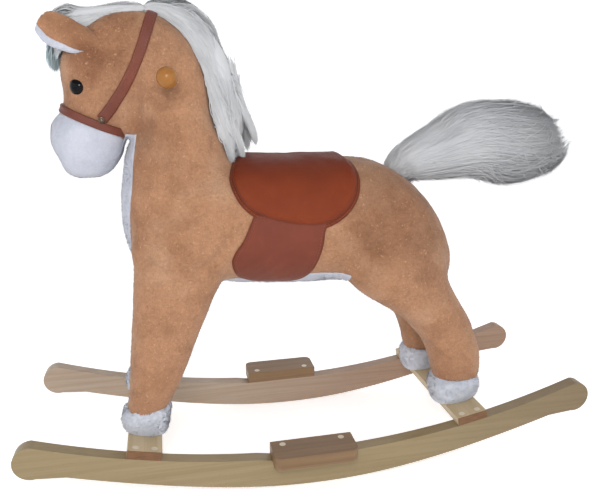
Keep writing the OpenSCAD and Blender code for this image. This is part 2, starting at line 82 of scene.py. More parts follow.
EAR = [[-236, 536, 7, 7], [-246, 538, 10, 8], [-259, 541, 13.5, 9], [-273, 545.5, 16.5, 8],
       [-286, 551, 17.5, 6], [-295, 556, 15.5, 4.5], [-300.5, 558.5, 12, 3], [-303, 560, 7, 1.6]]
# a filler of the shown skin only, which closes the top of the gap between jaw and neck
THROAT = [[-219, 435, 4, 16], [-218, 441, 8, 26], [-218, 455, 11, 31], [-219, 475, 13, 35],
          [-220, 495, 14, 37]]
EAR_Y, LEG_Y = 37, 54
DOCK = np.array([128.0, 0, 388.0])
NOSE = np.array([-254.0, 0, 451.0])
NOSE_TILT = math.radians(24)
NOSE_UP = np.array([math.sin(NOSE_TILT), 0, math.cos(NOSE_TILT)])
EYE = np.array([-272.0, 35, 492.0])
KNOB = np.array([-172.0, 92, 501.0])
# the crossbars' tilt in degrees and the half thickness of their slats
BAR_TILT = {"front": 12.06, "rear": -10.76}
BAR_HALF = 5.6


# ---------------------------------------------------------------- numbers and curves
def unit(v):
    """Vectors along the last axis, brought to length 1."""
    return v / np.maximum(np.linalg.norm(v, axis=-1, keepdims=True), 1e-9)


def bell(x, width):
    return np.exp(-(x / width) ** 2)


def clip01(x):
    return np.clip(x, 0, 1)


def sampled(t, s, table):
    """The rows of a table, read at t where its rows lie at s."""
    return np.stack([np.interp(t, s, table[:, c]) for c in range(table.shape[1])], -1)


def catmull(points, n):
    p = np.array(points, float)
    m = len(p)
    out = []
    for i in range(m - 1):
        a, b, c, d = p[max(i - 1, 0)], p[i], p[i + 1], p[min(i + 2, m - 1)]
        for k in range(n):
            t = k / n
            out.append(0.5 * (2 * b + (c - a) * t + (2 * a - 5 * b + 4 * c - d) * t * t
                              + (3 * b - a - 3 * c + d) * t ** 3))
    out.append(p[-1])
    return np.array(out)


def run_length(path):
    """The distance along a path at each of its points."""
    return np.concatenate([[0], np.cumsum(np.linalg.norm(np.diff(path, axis=0), axis=1))])


def waves(p, scale, seed, octaves=3):
    """Smooth seeded noise from sums of plane waves, about -1 to 1; scale is the lump size in mm."""
    rng = np.random.default_rng(seed)
    out = np.zeros(len(p))
    for o in range(octaves):
        for _ in range(7):
            k = rng.normal(size=3)
            k *= 2 * np.pi / (scale * 0.5 ** o) / np.linalg.norm(k) * rng.uniform(0.7, 1.3)
            out += np.sin(p @ k + rng.uniform(0, 6.28)) * 0.5 ** o / 4
    return out


# ---------------------------------------------------------------- shapes: vertices in mm and lists of faces
def ring_faces(rings, sides, closed=False, turned=False):
    """Quads between rings of vertices, with a cap at each end of an open row of rings."""
    i = np.arange(sides)
    j = (i + 1) % sides
    faces = []
    for k in range(rings if closed else rings - 1):
        a, b = k * sides, (k + 1) % rings * sides
        quads = [a + i, b + i, b + j, a + j] if turned else [a + i, a + j, b + j, b + i]
        faces += np.stack(quads, 1).tolist()
    if not closed:
        first, last = list(range(sides)), list(range((rings - 1) * sides, rings * sides))
        faces += [first, last[::-1]] if turned else [first[::-1], last]
    return faces


def faced_out(v, faces):
    """Turns every face the other way if the closed mesh is inside out."""
    tri = np.array([[f[0], f[k], f[k + 1]] for f in faces for k in range(1, len(f) - 1)])
    volume = np.einsum("ij,ij->i", v[tri[:, 0]], np.cross(v[tri[:, 1]], v[tri[:, 2]])).sum()
    return (v, faces) if volume > 0 else (v, [list(f)[::-1] for f in faces])


def loft(stations, grow=0.0, tilt=None, y=0.0, sides=48, square=2.25, steps=8):
    """The CAD's loft, finer: superellipse rings along a path in the side view, larger by grow. tilt is the
    angle of the rings in degrees; without one they stand square to the path."""
    s = catmull(stations, steps)
    for end, before in ((0, 1), (-1, -2)):
        d = s[end, :2] - s[before, :2]
        s[end, :2] += grow * d / np.linalg.norm(d)
    s[:, 2:] += grow
    m = len(s)
    t = 2 * np.pi * np.arange(sides) / sides
    cu, cw = (np.sign(c) * np.abs(c) ** (2 / square) for c in (np.cos(t), np.sin(t)))
    d = s[np.minimum(np.arange(m) + 1, m - 1)] - s[np.maximum(np.arange(m) - 1, 0)]
    a = np.arctan2(-d[:, 0], d[:, 1]) if tilt is None else np.full(m, math.radians(tilt))
    v = np.empty((m, sides, 3))
    v[:, :, 0] = s[:, None, 0] + s[:, None, 2] * cu * np.cos(a)[:, None]
    v[:, :, 1] = y + s[:, None, 3] * cw
    v[:, :, 2] = s[:, None, 1] + s[:, None, 2] * cu * np.sin(a)[:, None]
    return faced_out(v.reshape(-1, 3), ring_faces(m, sides, turned=True))


def tube(path, radius, sides=10, closed=True):
    """A round tube along a closed or open path."""
    p = np.asarray(path, float)
    t = unit(np.roll(p, -1, 0) - np.roll(p, 1, 0) if closed else np.gradient(p, axis=0))
    u = np.cross(t[0], [0.3, 0.2, 0.93])
    us = []
    for along in t:
        u = unit(u - along * (u @ along))
        us.append(u)
    us = np.array(us)
    ws = np.cross(t, us)
    a = 2 * np.pi * np.arange(sides) / sides
    r = np.broadcast_to(radius, len(p))[:, None, None]
    v = p[:, None] + r * (us[:, None] * np.cos(a)[None, :, None] + ws[:, None] * np.sin(a)[None, :, None])
    return v.reshape(-1, 3), ring_faces(len(p), sides, closed)


def lathe(profile, origin, axis, sides=40):
    """A turned shape: profile is (radius, height) pairs, closed at both ends on the axis."""
    u = unit(np.cross(axis, [0.1, 0.2, 0.97]))
    w = np.cross(axis, u)
    a = 2 * np.pi * np.arange(sides) / sides
    ring = u * np.cos(a)[:, None] + w * np.sin(a)[:, None]
    v = np.concatenate([np.array(origin) + axis * h + ring * r for r, h in profile])
    return faced_out(v, ring_faces(len(profile), sides))


def merged(*parts):
    verts, faces, base = [], [], 0
    for v, f in parts:
        verts.append(v)
        faces += [[base + k for k in q] for q in f]
        base += len(v)
    return np.concatenate(verts), faces


# ---------------------------------------------------------------- meshes and pieces
def mesh_of(name, verts, faces):
    """A mesh from vertices in mm; faces is a list of lists or an integer array."""
    me = bpy.data.meshes.new(name)
    verts = np.asarray(verts, float) * MM
    if isinstance(faces, np.ndarray):
        corners = faces.shape[1]
        me.vertices.add(len(verts))
        me.vertices.foreach_set("co", verts.astype(np.float32).ravel())
        me.loops.add(faces.size)
        me.loops.foreach_set("vertex_index", faces.astype(np.int32).ravel())
        me.polygons.add(len(faces))
        me.polygons.foreach_set("loop_start", np.arange(0, faces.size, corners, dtype=np.int32))
        me.update(calc_edges=True)
        me.validate()
    else:
        me.from_pydata(verts.tolist(), [], [list(map(int, f)) for f in faces])
        me.update()
    smooth(me)
    return me


def smooth(me):
    me.polygons.foreach_set("use_smooth", np.ones(len(me.polygons), bool))


def place(name, me, material, body="horse", replaces=()):
    o = bpy.data.objects.new(name, me)
    bpy.context.scene.collection.objects.link(o)
    me.materials.clear()
    me.materials.append(material)
    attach(o, body)
    if replaces:
        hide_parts(*replaces)
    return o


def piece(name, verts, faces, material, body="horse", slot=None, replaces=()):
    return place(name, mesh_of(name, verts, faces), material, body, replaces)


def arrays(me):
    """Vertices in mm and triangles of a mesh."""
    co = np.empty(len(me.vertices) * 3, np.float32)
    me.vertices.foreach_get("co", co)
    me.calc_loop_triangles()
    tri = np.empty(len(me.loop_triangles) * 3, np.int32)
    me.loop_triangles.foreach_get("vertices", tri)
    return co.reshape(-1, 3).astype(float) / MM, tri.reshape(-1, 3)


def triangulated(verts, faces):
    me = mesh_of("shape", verts, faces)
    v, tri = arrays(me)
    bpy.data.meshes.remove(me)
    return v, tri


def vertex_normals(v, tri):
    fn = np.cross(v[tri[:, 1]] - v[tri[:, 0]], v[tri[:, 2]] - v[tri[:, 0]])
    n = np.zeros_like(v)
    for k in range(3):
        for c in range(3):
            n[:, c] += np.bincount(tri[:, k], fn[:, c], len(v))
    return unit(n)


def remeshed(name, verts, faces, voxel):
    """The outer skin of overlapping closed shapes, as one even mesh."""
    me = mesh_of(name, verts, faces)
    o = bpy.data.objects.new(name, me)
    bpy.context.scene.collection.objects.link(o)
    mod = o.modifiers.new("remesh", "REMESH")
    mod.mode, mod.voxel_size, mod.adaptivity = "VOXEL", voxel * MM, 0
    bpy.context.view_layer.update()
    out = bpy.data.meshes.new_from_object(o.evaluated_get(bpy.context.evaluated_depsgraph_get()))
    bpy.data.objects.remove(o)
    bpy.data.meshes.remove(me)
    return out


def relax(v, edges, rounds, factor=0.5, weight=None):
    """Laplacian smoothing, with an optional weight for each vertex."""
    a, b = edges[:, 0], edges[:, 1]
    count = np.maximum(np.bincount(a, minlength=len(v)) + np.bincount(b, minlength=len(v)), 1)[:, None]
    w = factor if weight is None else factor * weight[:, None]
    for _ in range(rounds):
        s = np.stack([np.bincount(a, v[b, c], len(v)) + np.bincount(b, v[a, c], len(v)) for c in range(3)], 1)
        v = v + w * (s / count - v)
    return v


def tree_of(v, tri):
    return BVHTree.FromPolygons([tuple(p) for p in v], [tuple(map(int, t)) for t in tri])


def hit(tree, origin, direction, back=400.0):
    """The outermost hit on a line from origin along direction, found from outside, and its normal."""
    o, d = Vector(origin), Vector(direction).normalized()
    p, n, _, _ = tree.ray_cast(o + d * back, -d, back)
    if p is None:
        p, n, _, _ = tree.find_nearest(o)
    return np.array(p), np.array(n)


def cut(v, tri, fields):
    """The part of a triangle mesh where every field is positive, cut cleanly along the fields' zero lines."""
    bm = bmesh.new()
    keep = bm.verts.layers.float_vector.new("keep")
    vs = [bm.verts.new(p) for p in v]
    for t in tri:
        bm.faces.new([vs[k] for k in t])
    for vert in bm.verts:
        vert[keep] = vert.co
    for field in fields:
        bm.verts.ensure_lookup_table()
        p = np.array([vert[keep] for vert in bm.verts])
        for vert, x in zip(bm.verts, field(p)):
            vert.co.x = x
        bmesh.ops.bisect_plane(bm, geom=bm.verts[:] + bm.edges[:] + bm.faces[:], dist=1e-5,
                               plane_co=(0, 0, 0), plane_no=(1, 0, 0), clear_inner=True)
        for vert in bm.verts:
            vert.co = vert[keep]
    bmesh.ops.triangulate(bm, faces=bm.faces[:])
    bmesh.ops.remove_doubles(bm, verts=bm.verts[:], dist=0.05)
    bm.verts.index_update()
    v = np.array([vert.co for vert in bm.verts])
    tri = np.array([[x.index for x in f.verts] for f in bm.faces], int)
    bm.free()
    used, back = np.unique(tri, return_inverse=True)
    return v[used], back.reshape(tri.shape)


def shell(v, tri, normals, outer, inner):
    """A closed sheet from an open one: outer and inner are its offsets along the normals."""
    n = len(v)
    outer, inner = np.broadcast_to(outer, n)[:, None], np.broadcast_to(inner, n)[:, None]
    verts = np.concatenate([v + normals * outer, v + normals * inner])
    sides = np.concatenate([tri[:, [0, 1]], tri[:, [1, 2]], tri[:, [2, 0]]]).tolist()
    directed = dict.fromkeys(map(tuple, sides))
    walls = []
    for a, b in directed:
        if (b, a) not in directed:
            walls += [[b, a, a + n], [b, a + n, b + n]]
    return verts, np.concatenate([tri, tri[:, ::-1] + n, np.array(walls, int)])


# ---------------------------------------------------------------- materials
def srgb(colour):
    return tuple(c / 255 / 12.92 if c <= 10 else ((c / 255 + 0.055) / 1.055) ** 2.4 for c in colour)


def shade(c, k):
    return tuple(min(1.0, x * k) for x in c)


class Look:
    """A node material, with short calls for the nodes it is made of."""

    def __init__(self, name, rough=0.6, **values):
        self.m = bpy.data.materials.new(name)
        self.m.use_nodes = True
        self.t = self.m.node_tree
        self.b = self.t.nodes["Principled BSDF"]
        self.b.inputs["Roughness"].default_value = rough
        for k, x in values.items():
            self.b.inputs[k.replace("_", " ")].default_value = x
        self.co = self.t.nodes.new("ShaderNodeTexCoord").outputs["Object"]

    def node(self, kind, links=(), **props):
        n = self.t.nodes.new("ShaderNode" + kind)
        for k, x in props.items():
            setattr(n, k, x)
        for k, x in dict(links).items():
            if isinstance(x, bpy.types.NodeSocket):
                self.t.links.new(x, n.inputs[k])
            else:
                n.inputs[k].default_value = x
        return n

    def noise(self, scale, detail=3.0, rough=0.5, vector=None, distortion=0.0):
        return self.node("TexNoise", {"Vector": vector or self.co, "Scale": scale, "Detail": detail,
                                      "Roughness": rough, "Distortion": distortion}).outputs[0]

    def ramp(self, fac, *stops):
        """A colour ramp; a stop is a position and a grey or a colour."""
        n = self.node("ValToRGB", {"Fac": fac})
        r = n.color_ramp
        while len(r.elements) < len(stops):
            r.elements.new(0.5)
        for e, (pos, c) in zip(r.elements, stops):
            e.position = pos
            e.color = (c if isinstance(c, tuple) else (c,) * 3) + (1,)
        return n.outputs[0]

    def step(self, fac, at_0, at_1):
        """0 at one value and 1 at the other, whichever way round they lie."""
        return self.ramp(fac, *sorted([(at_0, 0.0), (at_1, 1.0)]))

    def mix(self, fac, a, b, mode="MIX"):
        a, b = (x + (1,) if isinstance(x, tuple) else x for x in (a, b))
        return self.node("Mix", {0: fac, 6: a, 7: b}, data_type="RGBA", blend_type=mode).outputs[2]

    def times(self, a, b):
        return self.mix(1.0, a, b, "MULTIPLY")

    def math(self, op, a, b=0.0):
        return self.node("Math", {0: a, 1: b}, operation=op).outputs[0]

    def spread(self, value, start, end):
        """0 at start and 1 at end, eased at both."""
        return self.node("MapRange", {"Value": value, "From Min": start, "From Max": end},
                         interpolation_type="SMOOTHSTEP").outputs[0]

    def axis(self, k):
        return self.node("SeparateXYZ", {"Vector": self.co}).outputs[k]

    def near(self, x, z, radius, soft=0.6):
        """1 at a place of the side view, on both sides, falling to 0 at radius (metres)."""
        flat = self.node("VectorMath", {0: self.co, 1: (1, 0, 1)}, operation="MULTIPLY").outputs[0]
        d = self.node("VectorMath", {0: flat, 1: (x, 0, z)}, operation="DISTANCE").outputs["Value"]
        wavy = self.math("ADD", d, self.math("MULTIPLY", self.noise(30, 2), 0.03))
        return self.spread(wavy, radius + 0.015, radius * (1 - soft) + 0.015)

    def finish(self, colour, rough=None, bump=None):
        """Joins up the shader: rough is (noise, low, high), bump is (height, strength, distance)."""
        self.t.links.new(colour, self.b.inputs["Base Color"])
        if rough:
            n = self.node("MapRange", {"Value": rough[0], "To Min": rough[1], "To Max": rough[2]})
            self.t.links.new(n.outputs[0], self.b.inputs["Roughness"])
        if bump:
            n = self.node("Bump", dict(zip(("Height", "Strength", "Distance"), bump)))
            self.t.links.new(n.outputs[0], self.b.inputs["Normal"])
        return self.m


def plush_look(name, colours, pile=False, brushed_and_shaded=(), mottle=0.06):
    """Short pile: mottled where its nap has been pushed both ways, and darker in the given places, which are
    (x, z, radius, colour to multiply by). These places are partly nap that lies the other way and partly
    painted shade: the rump, further from the key light, and the top of the head, which faces away from it."""
    base, dark, light = map(srgb, colours)
    k = Look(name, 0.92, Sheen_Weight=0.22, Sheen_Roughness=0.45, Sheen_Tint=(1, 0.93, 0.86, 1),
             Specular_IOR_Level=0.2)
    c = k.mix(k.step(k.noise(26, 3, 0.55, distortion=0.6), 0.54, 0.36), base, dark)
    c = k.mix(k.step(k.noise(15, 2), 0.52, 0.72), c, light)
    c = k.times(c, k.ramp(k.noise(70, 3, 0.6, distortion=1.4), (0.32, 1 - mottle), (0.68, 1 + mottle)))
    # darker places: partly nap, partly painted shade on the rump and the top of the head
    for x, z, radius, dim in brushed_and_shaded:
        c = k.mix(k.near(x, z, radius), c, k.times(c, dim))
    for scale, below, above in ((900, 1.8, 1.5), (300, 1.5, 1.4)):
        c = k.times(c, k.ramp(k.noise(scale, 2, 0.6), (0.3, 1 - below * mottle), (0.7, 1 + above * mottle)))
    specks = k.step(k.noise(330, 1), 0.66, 0.74)
    c = k.mix(k.math("MULTIPLY", specks, min(0.6, 9 * mottle)), c, shade(light, 1.18))
    if not pile:
        return k.finish(c, bump=(k.noise(700, 2, 0.6), 0.6, 0.0008))
    tone = k.node("Attribute", attribute_name="tone").outputs["Fac"]
    wide = 0.08 + 2.2 * mottle
    return k.finish(k.times(c, k.ramp(tone, (0.0, 1 - wide), (0.55, 1.0), (1.0, 1 + wide))))


def fur_look(name, colours, strands=True):
    base, dark = map(srgb, colours)
    k = Look(name, 0.75, Sheen_Weight=0.15, Sheen_Roughness=0.5, Specular_IOR_Level=0.12)
    c = k.mix(k.step(k.noise(14, 2), 0.65, 0.35), base, dark)
    if strands:
        tone = k.node("Attribute", attribute_name="tone").outputs["Fac"]
        c = k.times(c, k.ramp(tone, (0.0, 0.6), (0.5, 0.98), (1.0, 1.1)))
    return k.finish(c)


def leather_look(name, colours, rough=0.42, top=None, specular=0.22):
    """top = (z0, z1, colour): painted shade on the top of the piece, which multiplies in a colour above z0,
    fully by z1.
    """
    base, dark, light = map(srgb, colours)
    k = Look(name, rough, Specular_IOR_Level=specular)
    cells = k.node("TexVoronoi", {"Vector": k.co, "Scale": 950.0}, feature="DISTANCE_TO_EDGE")
    grain = k.step(cells.outputs["Distance"], 0.0, 0.12)
    c = k.mix(k.step(k.noise(18, 3), 0.65, 0.35), base, dark)
    c = k.mix(k.ramp(k.noise(60, 4, 0.6), (0.6, 0.0), (0.85, 0.5)), c, light)
    c = k.mix(k.math("MULTIPLY", k.math("SUBTRACT", 1.0, grain), 0.35), c, shade(dark, 0.7))
    # painted shade: darker towards the top
    if top:
        c = k.mix(k.spread(k.axis(2), top[0], top[1]), c, k.times(c, top[2]))
    height = k.math("ADD", grain, k.math("MULTIPLY", k.noise(260, 3, 0.6), 0.8))
    return k.finish(c, (k.noise(45, 3, 0.6), rough - 0.08, rough + 0.12), (height, 0.35, 0.0004))


def wood_look(name, colours, along=(2.0, 40.0, 56.0), rough=0.42, coat=0.1, falloff_shade=None, end_grain=None):
    """Grain along X unless the scales in along say otherwise. The falloff shade, (x0, x1, colour), multiplies
    in a colour from x0 to x1: painted shade, for the end of a rocker that lies further from the key light.
    end_grain = (|y|, colour) past that |y|."""
    base, dark, streak = map(srgb, colours)
    k = Look(name, rough, Coat_Weight=coat, Coat_Roughness=0.25, Specular_IOR_Level=0.22)
    v, v_flecks = (k.node("Mapping", {"Vector": k.co, "Scale": scale}).outputs[0]
                   for scale in (along, (2.0, 14.0, 16.0)))
    fine = k.noise(9.0, 5, 0.62, v, 0.4)
    broad = k.noise(1.6, 3, 0.5, v, 1.2)
    flecks = k.noise(60.0, 2, 0.5, v_flecks)
    wave = {"Vector": v, "Scale": 0.55, "Distortion": 9.0, "Detail": 3.0, "Detail Scale": 1.2}
    rings = k.node("TexWave", wave, wave_type="BANDS", bands_direction="Z").outputs["Fac"]
    c = k.mix(k.step(broad, 0.68, 0.32), base, dark)
    for fac, at_0, at_1, share, colour in ((rings, 0.55, 0.95, 0.22, streak), (fine, 0.54, 0.72, 0.3, streak),
                                           (flecks, 0.62, 0.75, 0.3, shade(dark, 0.7))):
        c = k.mix(k.math("MULTIPLY", k.step(fac, at_0, at_1), share), c, colour)
    # painted shade: darker towards +x, further from the key light
    if falloff_shade:
        n = k.node("MapRange", {"Value": k.math("ADD", k.axis(0), k.math("MULTIPLY", broad, 0.12)),
                                "From Min": falloff_shade[0] + 0.06, "From Max": falloff_shade[1] + 0.06})
        c = k.mix(n.outputs[0], c, k.times(c, falloff_shade[2]))
    if end_grain:
        past = k.math("GREATER_THAN", k.math("ABSOLUTE", k.axis(1)), end_grain[0])
        c = k.mix(past, c, k.times(srgb(end_grain[1]), k.ramp(flecks, (0.3, 0.8), (0.7, 1.15))))
    return k.finish(c, (broad, rough - 0.06, rough + 0.1), (fine, 0.12, 0.0004))


def plain_look(name, rough, noise, low, high, roughness=None, bump=None, **values):
    """Two colours, low and high, mixed by one noise. roughness and bump start with a noise of their own. A
    noise is its scale, detail and roughness."""
    k = Look(name, rough, **values)
    colour = k.ramp(k.noise(*noise), low, high)
    return k.finish(colour, *[given and (k.noise(*given[0]), *given[1:]) for given in (roughness, bump)])


TAN = (168, 125, 95), (157, 115, 86), (177, 138, 109)
WHITE = (186, 189, 200), (174, 178, 190), (196, 198, 208)
# places of the tan plush made darker: partly nap lying the other way, partly painted shade on the rump
# (further from the key light) and on the top of the head (facing away from it); each is x, z, radius in metres
# and the colour to multiply by
BRUSHED_AND_SHADED = [(0.115, 0.36, 0.12, (0.74, 0.70, 0.68)), (-0.245, 0.555, 0.06, (0.74, 0.69, 0.66)),
           (-0.262, 0.518, 0.032, (0.80, 0.75, 0.72)), (-0.19, 0.425, 0.045, (0.80, 0.75, 0.72)),
           (0.05, 0.28, 0.06, (0.88, 0.86, 0.84)), (-0.205, 0.32, 0.05, (0.90, 0.88, 0.86)),
           (-0.24, 0.48, 0.07, (0.88, 0.86, 0.86)), (-0.175, 0.55, 0.05, (0.88, 0.88, 0.88)),
           (0.17, 0.27, 0.07, (0.94, 0.94, 0.95))]
bar_end = max(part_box("crossbar_front")[1].y, 0) - 0.0006
looks = {
    "tan_plush": plush_look("tan_plush", TAN, brushed_and_shaded=BRUSHED_AND_SHADED),
    "tan_pile": plush_look("tan_pile", TAN, True, BRUSHED_AND_SHADED),
    "white_plush": plush_look("white_plush", WHITE, mottle=0.02),
    "white_pile": plush_look("white_pile", WHITE, True, mottle=0.02),
    # the cuffs' plush is a lighter copy of the white plush: painted light, which makes up for the shade that
    # falls on the low cuffs and between their pile
    "hoof_plush": plush_look("hoof_plush", ((208, 211, 220), (196, 200, 210), (218, 220, 227)), mottle=0.02),
    "hoof_pile": plush_look("hoof_pile", ((208, 211, 220), (200, 204, 214), (220, 222, 228)), True,
                            mottle=0.02),
    "fur": fur_look("long_fur", ((197, 198, 200), (188, 190, 193))),
    "fur_base": fur_look("fur_base", ((200, 201, 203), (192, 194, 197)), False),
    # the forelock tuft's fur is the white fur tinted grey-teal: painted shade, as the tuft hangs in shade
    # behind the ear
    "shaded_tuft_fur": fur_look("forehead_fur_shaded", ((188, 202, 206), (174, 190, 194))),
    # the saddle's top is painted darker from z 0.372 m up: painted shade, where it faces up, away from the key
    # light by the camera
    "saddle": leather_look("saddle_leatherette", ((126, 56, 30), (116, 50, 27), (138, 70, 45)), 0.5,
                           (0.372, 0.414, (0.66, 0.55, 0.48)), 0.12),
    "flap": leather_look("flap_leatherette", ((120, 58, 41), (108, 52, 36), (134, 74, 56))),
    "piping": leather_look("piping_leatherette", ((112, 52, 32), (94, 42, 26), (134, 72, 50))),
    "bridle": leather_look("bridle_leatherette", ((122, 68, 54), (104, 57, 47), (140, 86, 70)), 0.4),
    # both rockers are darkened towards +x: painted shade, where they lie further from the key light
    "birch": wood_look("birch_wood", ((150, 133, 102), (140, 123, 91), (130, 111, 79)),
                       falloff_shade=(0.1, 0.38, (0.72, 0.68, 0.68))),
    "pink": wood_look("pink_beech_wood", ((172, 156, 139), (160, 140, 121), (145, 120, 100)),
                      falloff_shade=(-0.1, 0.2, (0.82, 0.68, 0.62))),
    "stained": wood_look("stained_wood", ((134, 107, 78), (118, 92, 65), (100, 75, 52))),
    "bar": wood_look("crossbar_wood", ((196, 178, 146), (184, 164, 130), (166, 144, 110)), (46.0, 3.0, 60.0),
                     end_grain=(bar_end, (114, 80, 54))),
    "knob": wood_look("knob_wood", ((152, 103, 52), (142, 93, 43), (124, 78, 34)), (30.0, 6.0, 25.0), 0.22,
                      coat=0.0),
    "plug": wood_look("plug_wood", ((214, 204, 184), (200, 188, 166), (184, 170, 146)), (60.0, 60.0, 60.0)),
    "plywood": wood_look("frame_plywood", ((176, 152, 116), (158, 132, 94), (136, 108, 74)), rough=0.6,
                         coat=0.0),
    "stitch": plain_look("stitch_thread", 0.75, (1400, 2, 0.6), (0.3, srgb((104, 54, 38))),
                         (0.7, srgb((146, 88, 64))), bump=((2200, 1), 0.4, 0.0002)),
    "eye": plain_look("eye_plastic", 0.1, (60, 2), (0.3, (0.002, 0.002, 0.003)), (0.8, (0.006, 0.005, 0.006)),
                      Specular_IOR_Level=0.14),
    "metal": plain_look("rivet_metal", 0.28, (300, 3, 0.6), (0.3, srgb((72, 58, 48))),
                        (0.75, srgb((128, 112, 98))), ((500, 2), 0.18, 0.4), Metallic=1.0),
    "washer": plain_look("washer_plastic", 0.5, (80, 2), (0.3, srgb((196, 196, 190))),
                         (0.7, srgb((216, 216, 212)))),
}

# ---------------------------------------------------------------- plush body
# folds in the plush on both sides: points in the side view, depth, width
CREASES = [
    ([(-193, 478), (-182, 472), (-168, 473), (-158, 479)], 2.6, 4.5),
    ([(-186, 470), (-196, 452), (-203, 430)], 1.8, 5.0),
    ([(-176, 290), (-160, 283), (-140, 287), (-122, 300), (-112, 318)], 2.6, 5.5),
    ([(-212, 300), (-198, 288), (-180, 286)], 2.0, 5.0),
    ([(52, 268), (62, 290), (80, 306), (104, 316)], 1.8, 6.0),
    ([(-205, 168), (-190, 172), (-176, 168)], 1.0, 5.0),
    ([(182, 150), (198, 154), (212, 148)], 1.0, 5.0),
]
# dimples where something is sewn or pushed in: centre on the left side, depth, radius
DIMPLES = [((KNOB[0], 50, KNOB[2]), 5.0, 13), (EYE, 2.2, 11), (DOCK - [3, 0, 8], 7.0, 17)]
BODY_GROW, LEG_GROW = -0.6, -0.4       # leaves room for the pile
BACK_SEAM_WIDTH, BACK_SEAM_DEPTH, BACK_SEAM_LOW = 1.6, 0.9, 330


def line_distance(p, path):
    """Distance in the side view from points to a polyline."""
    q = catmull(path, 6)
    best = np.full(len(p), 1e9)
    for a, b in zip(q[:-1], q[1:]):
        d = b - a
        t = clip01(((p[:, [0, 2]] - a) @ d) / (d @ d))
        best = np.minimum(best, np.linalg.norm(p[:, [0, 2]] - a - t[:, None] * d, axis=1))
    return best


parts = [loft(TORSO, BODY_GROW, 90), loft(NECK, BODY_GROW, 0), loft(HEAD, BODY_GROW, 0), loft(THROAT, 0, 0)]
for s, _ in SIDES:
    parts += [loft(FRONT_LEG, LEG_GROW, 0, s * LEG_Y), loft(REAR_LEG, LEG_GROW, 0, s * LEG_Y)]
skin_mesh = remeshed("skin", *merged(*parts), SKIN_VOXEL)
skin, skin_tri = arrays(skin_mesh)
skin_edges = np.empty(len(skin_mesh.edges) * 2, np.int32)
skin_mesh.edges.foreach_get("vertices", skin_edges)
skin = relax(skin, skin_edges.reshape(-1, 2), SKIN_ROUNDS)
normals = vertex_normals(skin, skin_tri)
push = 0.7 * waves(skin, 70, 5) + 0.25 * waves(skin, 18, 6, 2)
on_side = clip01(np.abs(skin[:, 1]) / 25 - 0.6)
for path, depth, width in CREASES:
    d = line_distance(skin, path)
    push -= depth * bell(d, width) * on_side
    push += 0.45 * depth * bell(d - 2.1 * width, width) * on_side
mirrored = skin * [1, 0, 1] + np.abs(skin) * [0, 1, 0]
for centre, depth, radius in DIMPLES:
    push -= depth * bell(np.linalg.norm(mirrored - centre, axis=1), radius)
push -= BACK_SEAM_DEPTH * bell(skin[:, 1], BACK_SEAM_WIDTH) * (skin[:, 2] > BACK_SEAM_LOW)
skin = skin + normals * push[:, None]
normals = vertex_normals(skin, skin_tri)
skin_tree = tree_of(skin, skin_tri)
skin_mesh.vertices.foreach_set("co", (skin * MM).astype(np.float32).ravel())
smooth(skin_mesh)
skin_mesh.update()
leg_nodes = [f"leg_{kind}_{end}_{side}" for kind in ("cover", "filling") for end in ("front", "rear")
             for side in ("left", "right")]
body_skin = place("plush_body", skin_mesh, looks["tan_plush"],
                  replaces=["torso_cover", "torso_filling", "neck_cover", "neck_filling", "head_cover",
                            "head_filling"] + leg_nodes)


# ---------------------------------------------------------------- white panels cut from the same skin
# Each field is positive on the panel's side of one of its edges.
PANEL_OUT, PANEL_IN = 1.3, -3.0
CHEST_TOP, CHEST_LOW = 437, 262


def chest_edge(z):
    """How far back the white strip reaches on the side of the chest."""
    return np.interp(z, [262, 290, 307, 337, 372, 405, 438], [-206, -213, -217, -220, -219, -215.5, -210])


def chest_front(z):
    """How far forward the strip reaches, so that it stays off the jaw."""
    return -223 - 0.42 * np.clip(CHEST_TOP - z, 0, 45) - np.clip(400 - z, 0, 90)


chest_fields = [lambda p: chest_edge(p[:, 2]) - p[:, 0], lambda p: 48 - np.abs(p[:, 1]),
                lambda p: CHEST_TOP - p[:, 2], lambda p: p[:, 2] - CHEST_LOW - 0.019 * p[:, 1] ** 2,
                lambda p: p[:, 0] - chest_front(p[:, 2])]
belly_fields = [lambda p: 264 - p[:, 2] - 0.0009 * (p[:, 0] + 31) ** 2, lambda p: p[:, 0] + 118,
                lambda p: 42 - p[:, 0], lambda p: 70 - np.abs(p[:, 1])]


def panel(name, fields, replaced):
    near = np.ones(len(skin_tri), bool)
    for f in fields:
        near &= (f(skin)[skin_tri] > -8).any(1)
    v, t = cut(skin, skin_tri[near], fields)
    n = vertex_normals(v, t)
    o = piece(name, *shell(v, t, n, PANEL_OUT, PANEL_IN), looks["white_plush"], slot="white_plush",
              replaces=replaced)
    return v + n * PANEL_OUT, t, n


panel_faces = [panel("chest_panel_plush", chest_fields, ["chest_panel"]),
               panel("belly_panel_plush", belly_fields, ["belly_panel"])]


# ---------------------------------------------------------------- muzzle: the head's nose end
def nose_side(p):
    return (p - NOSE) @ NOSE_UP


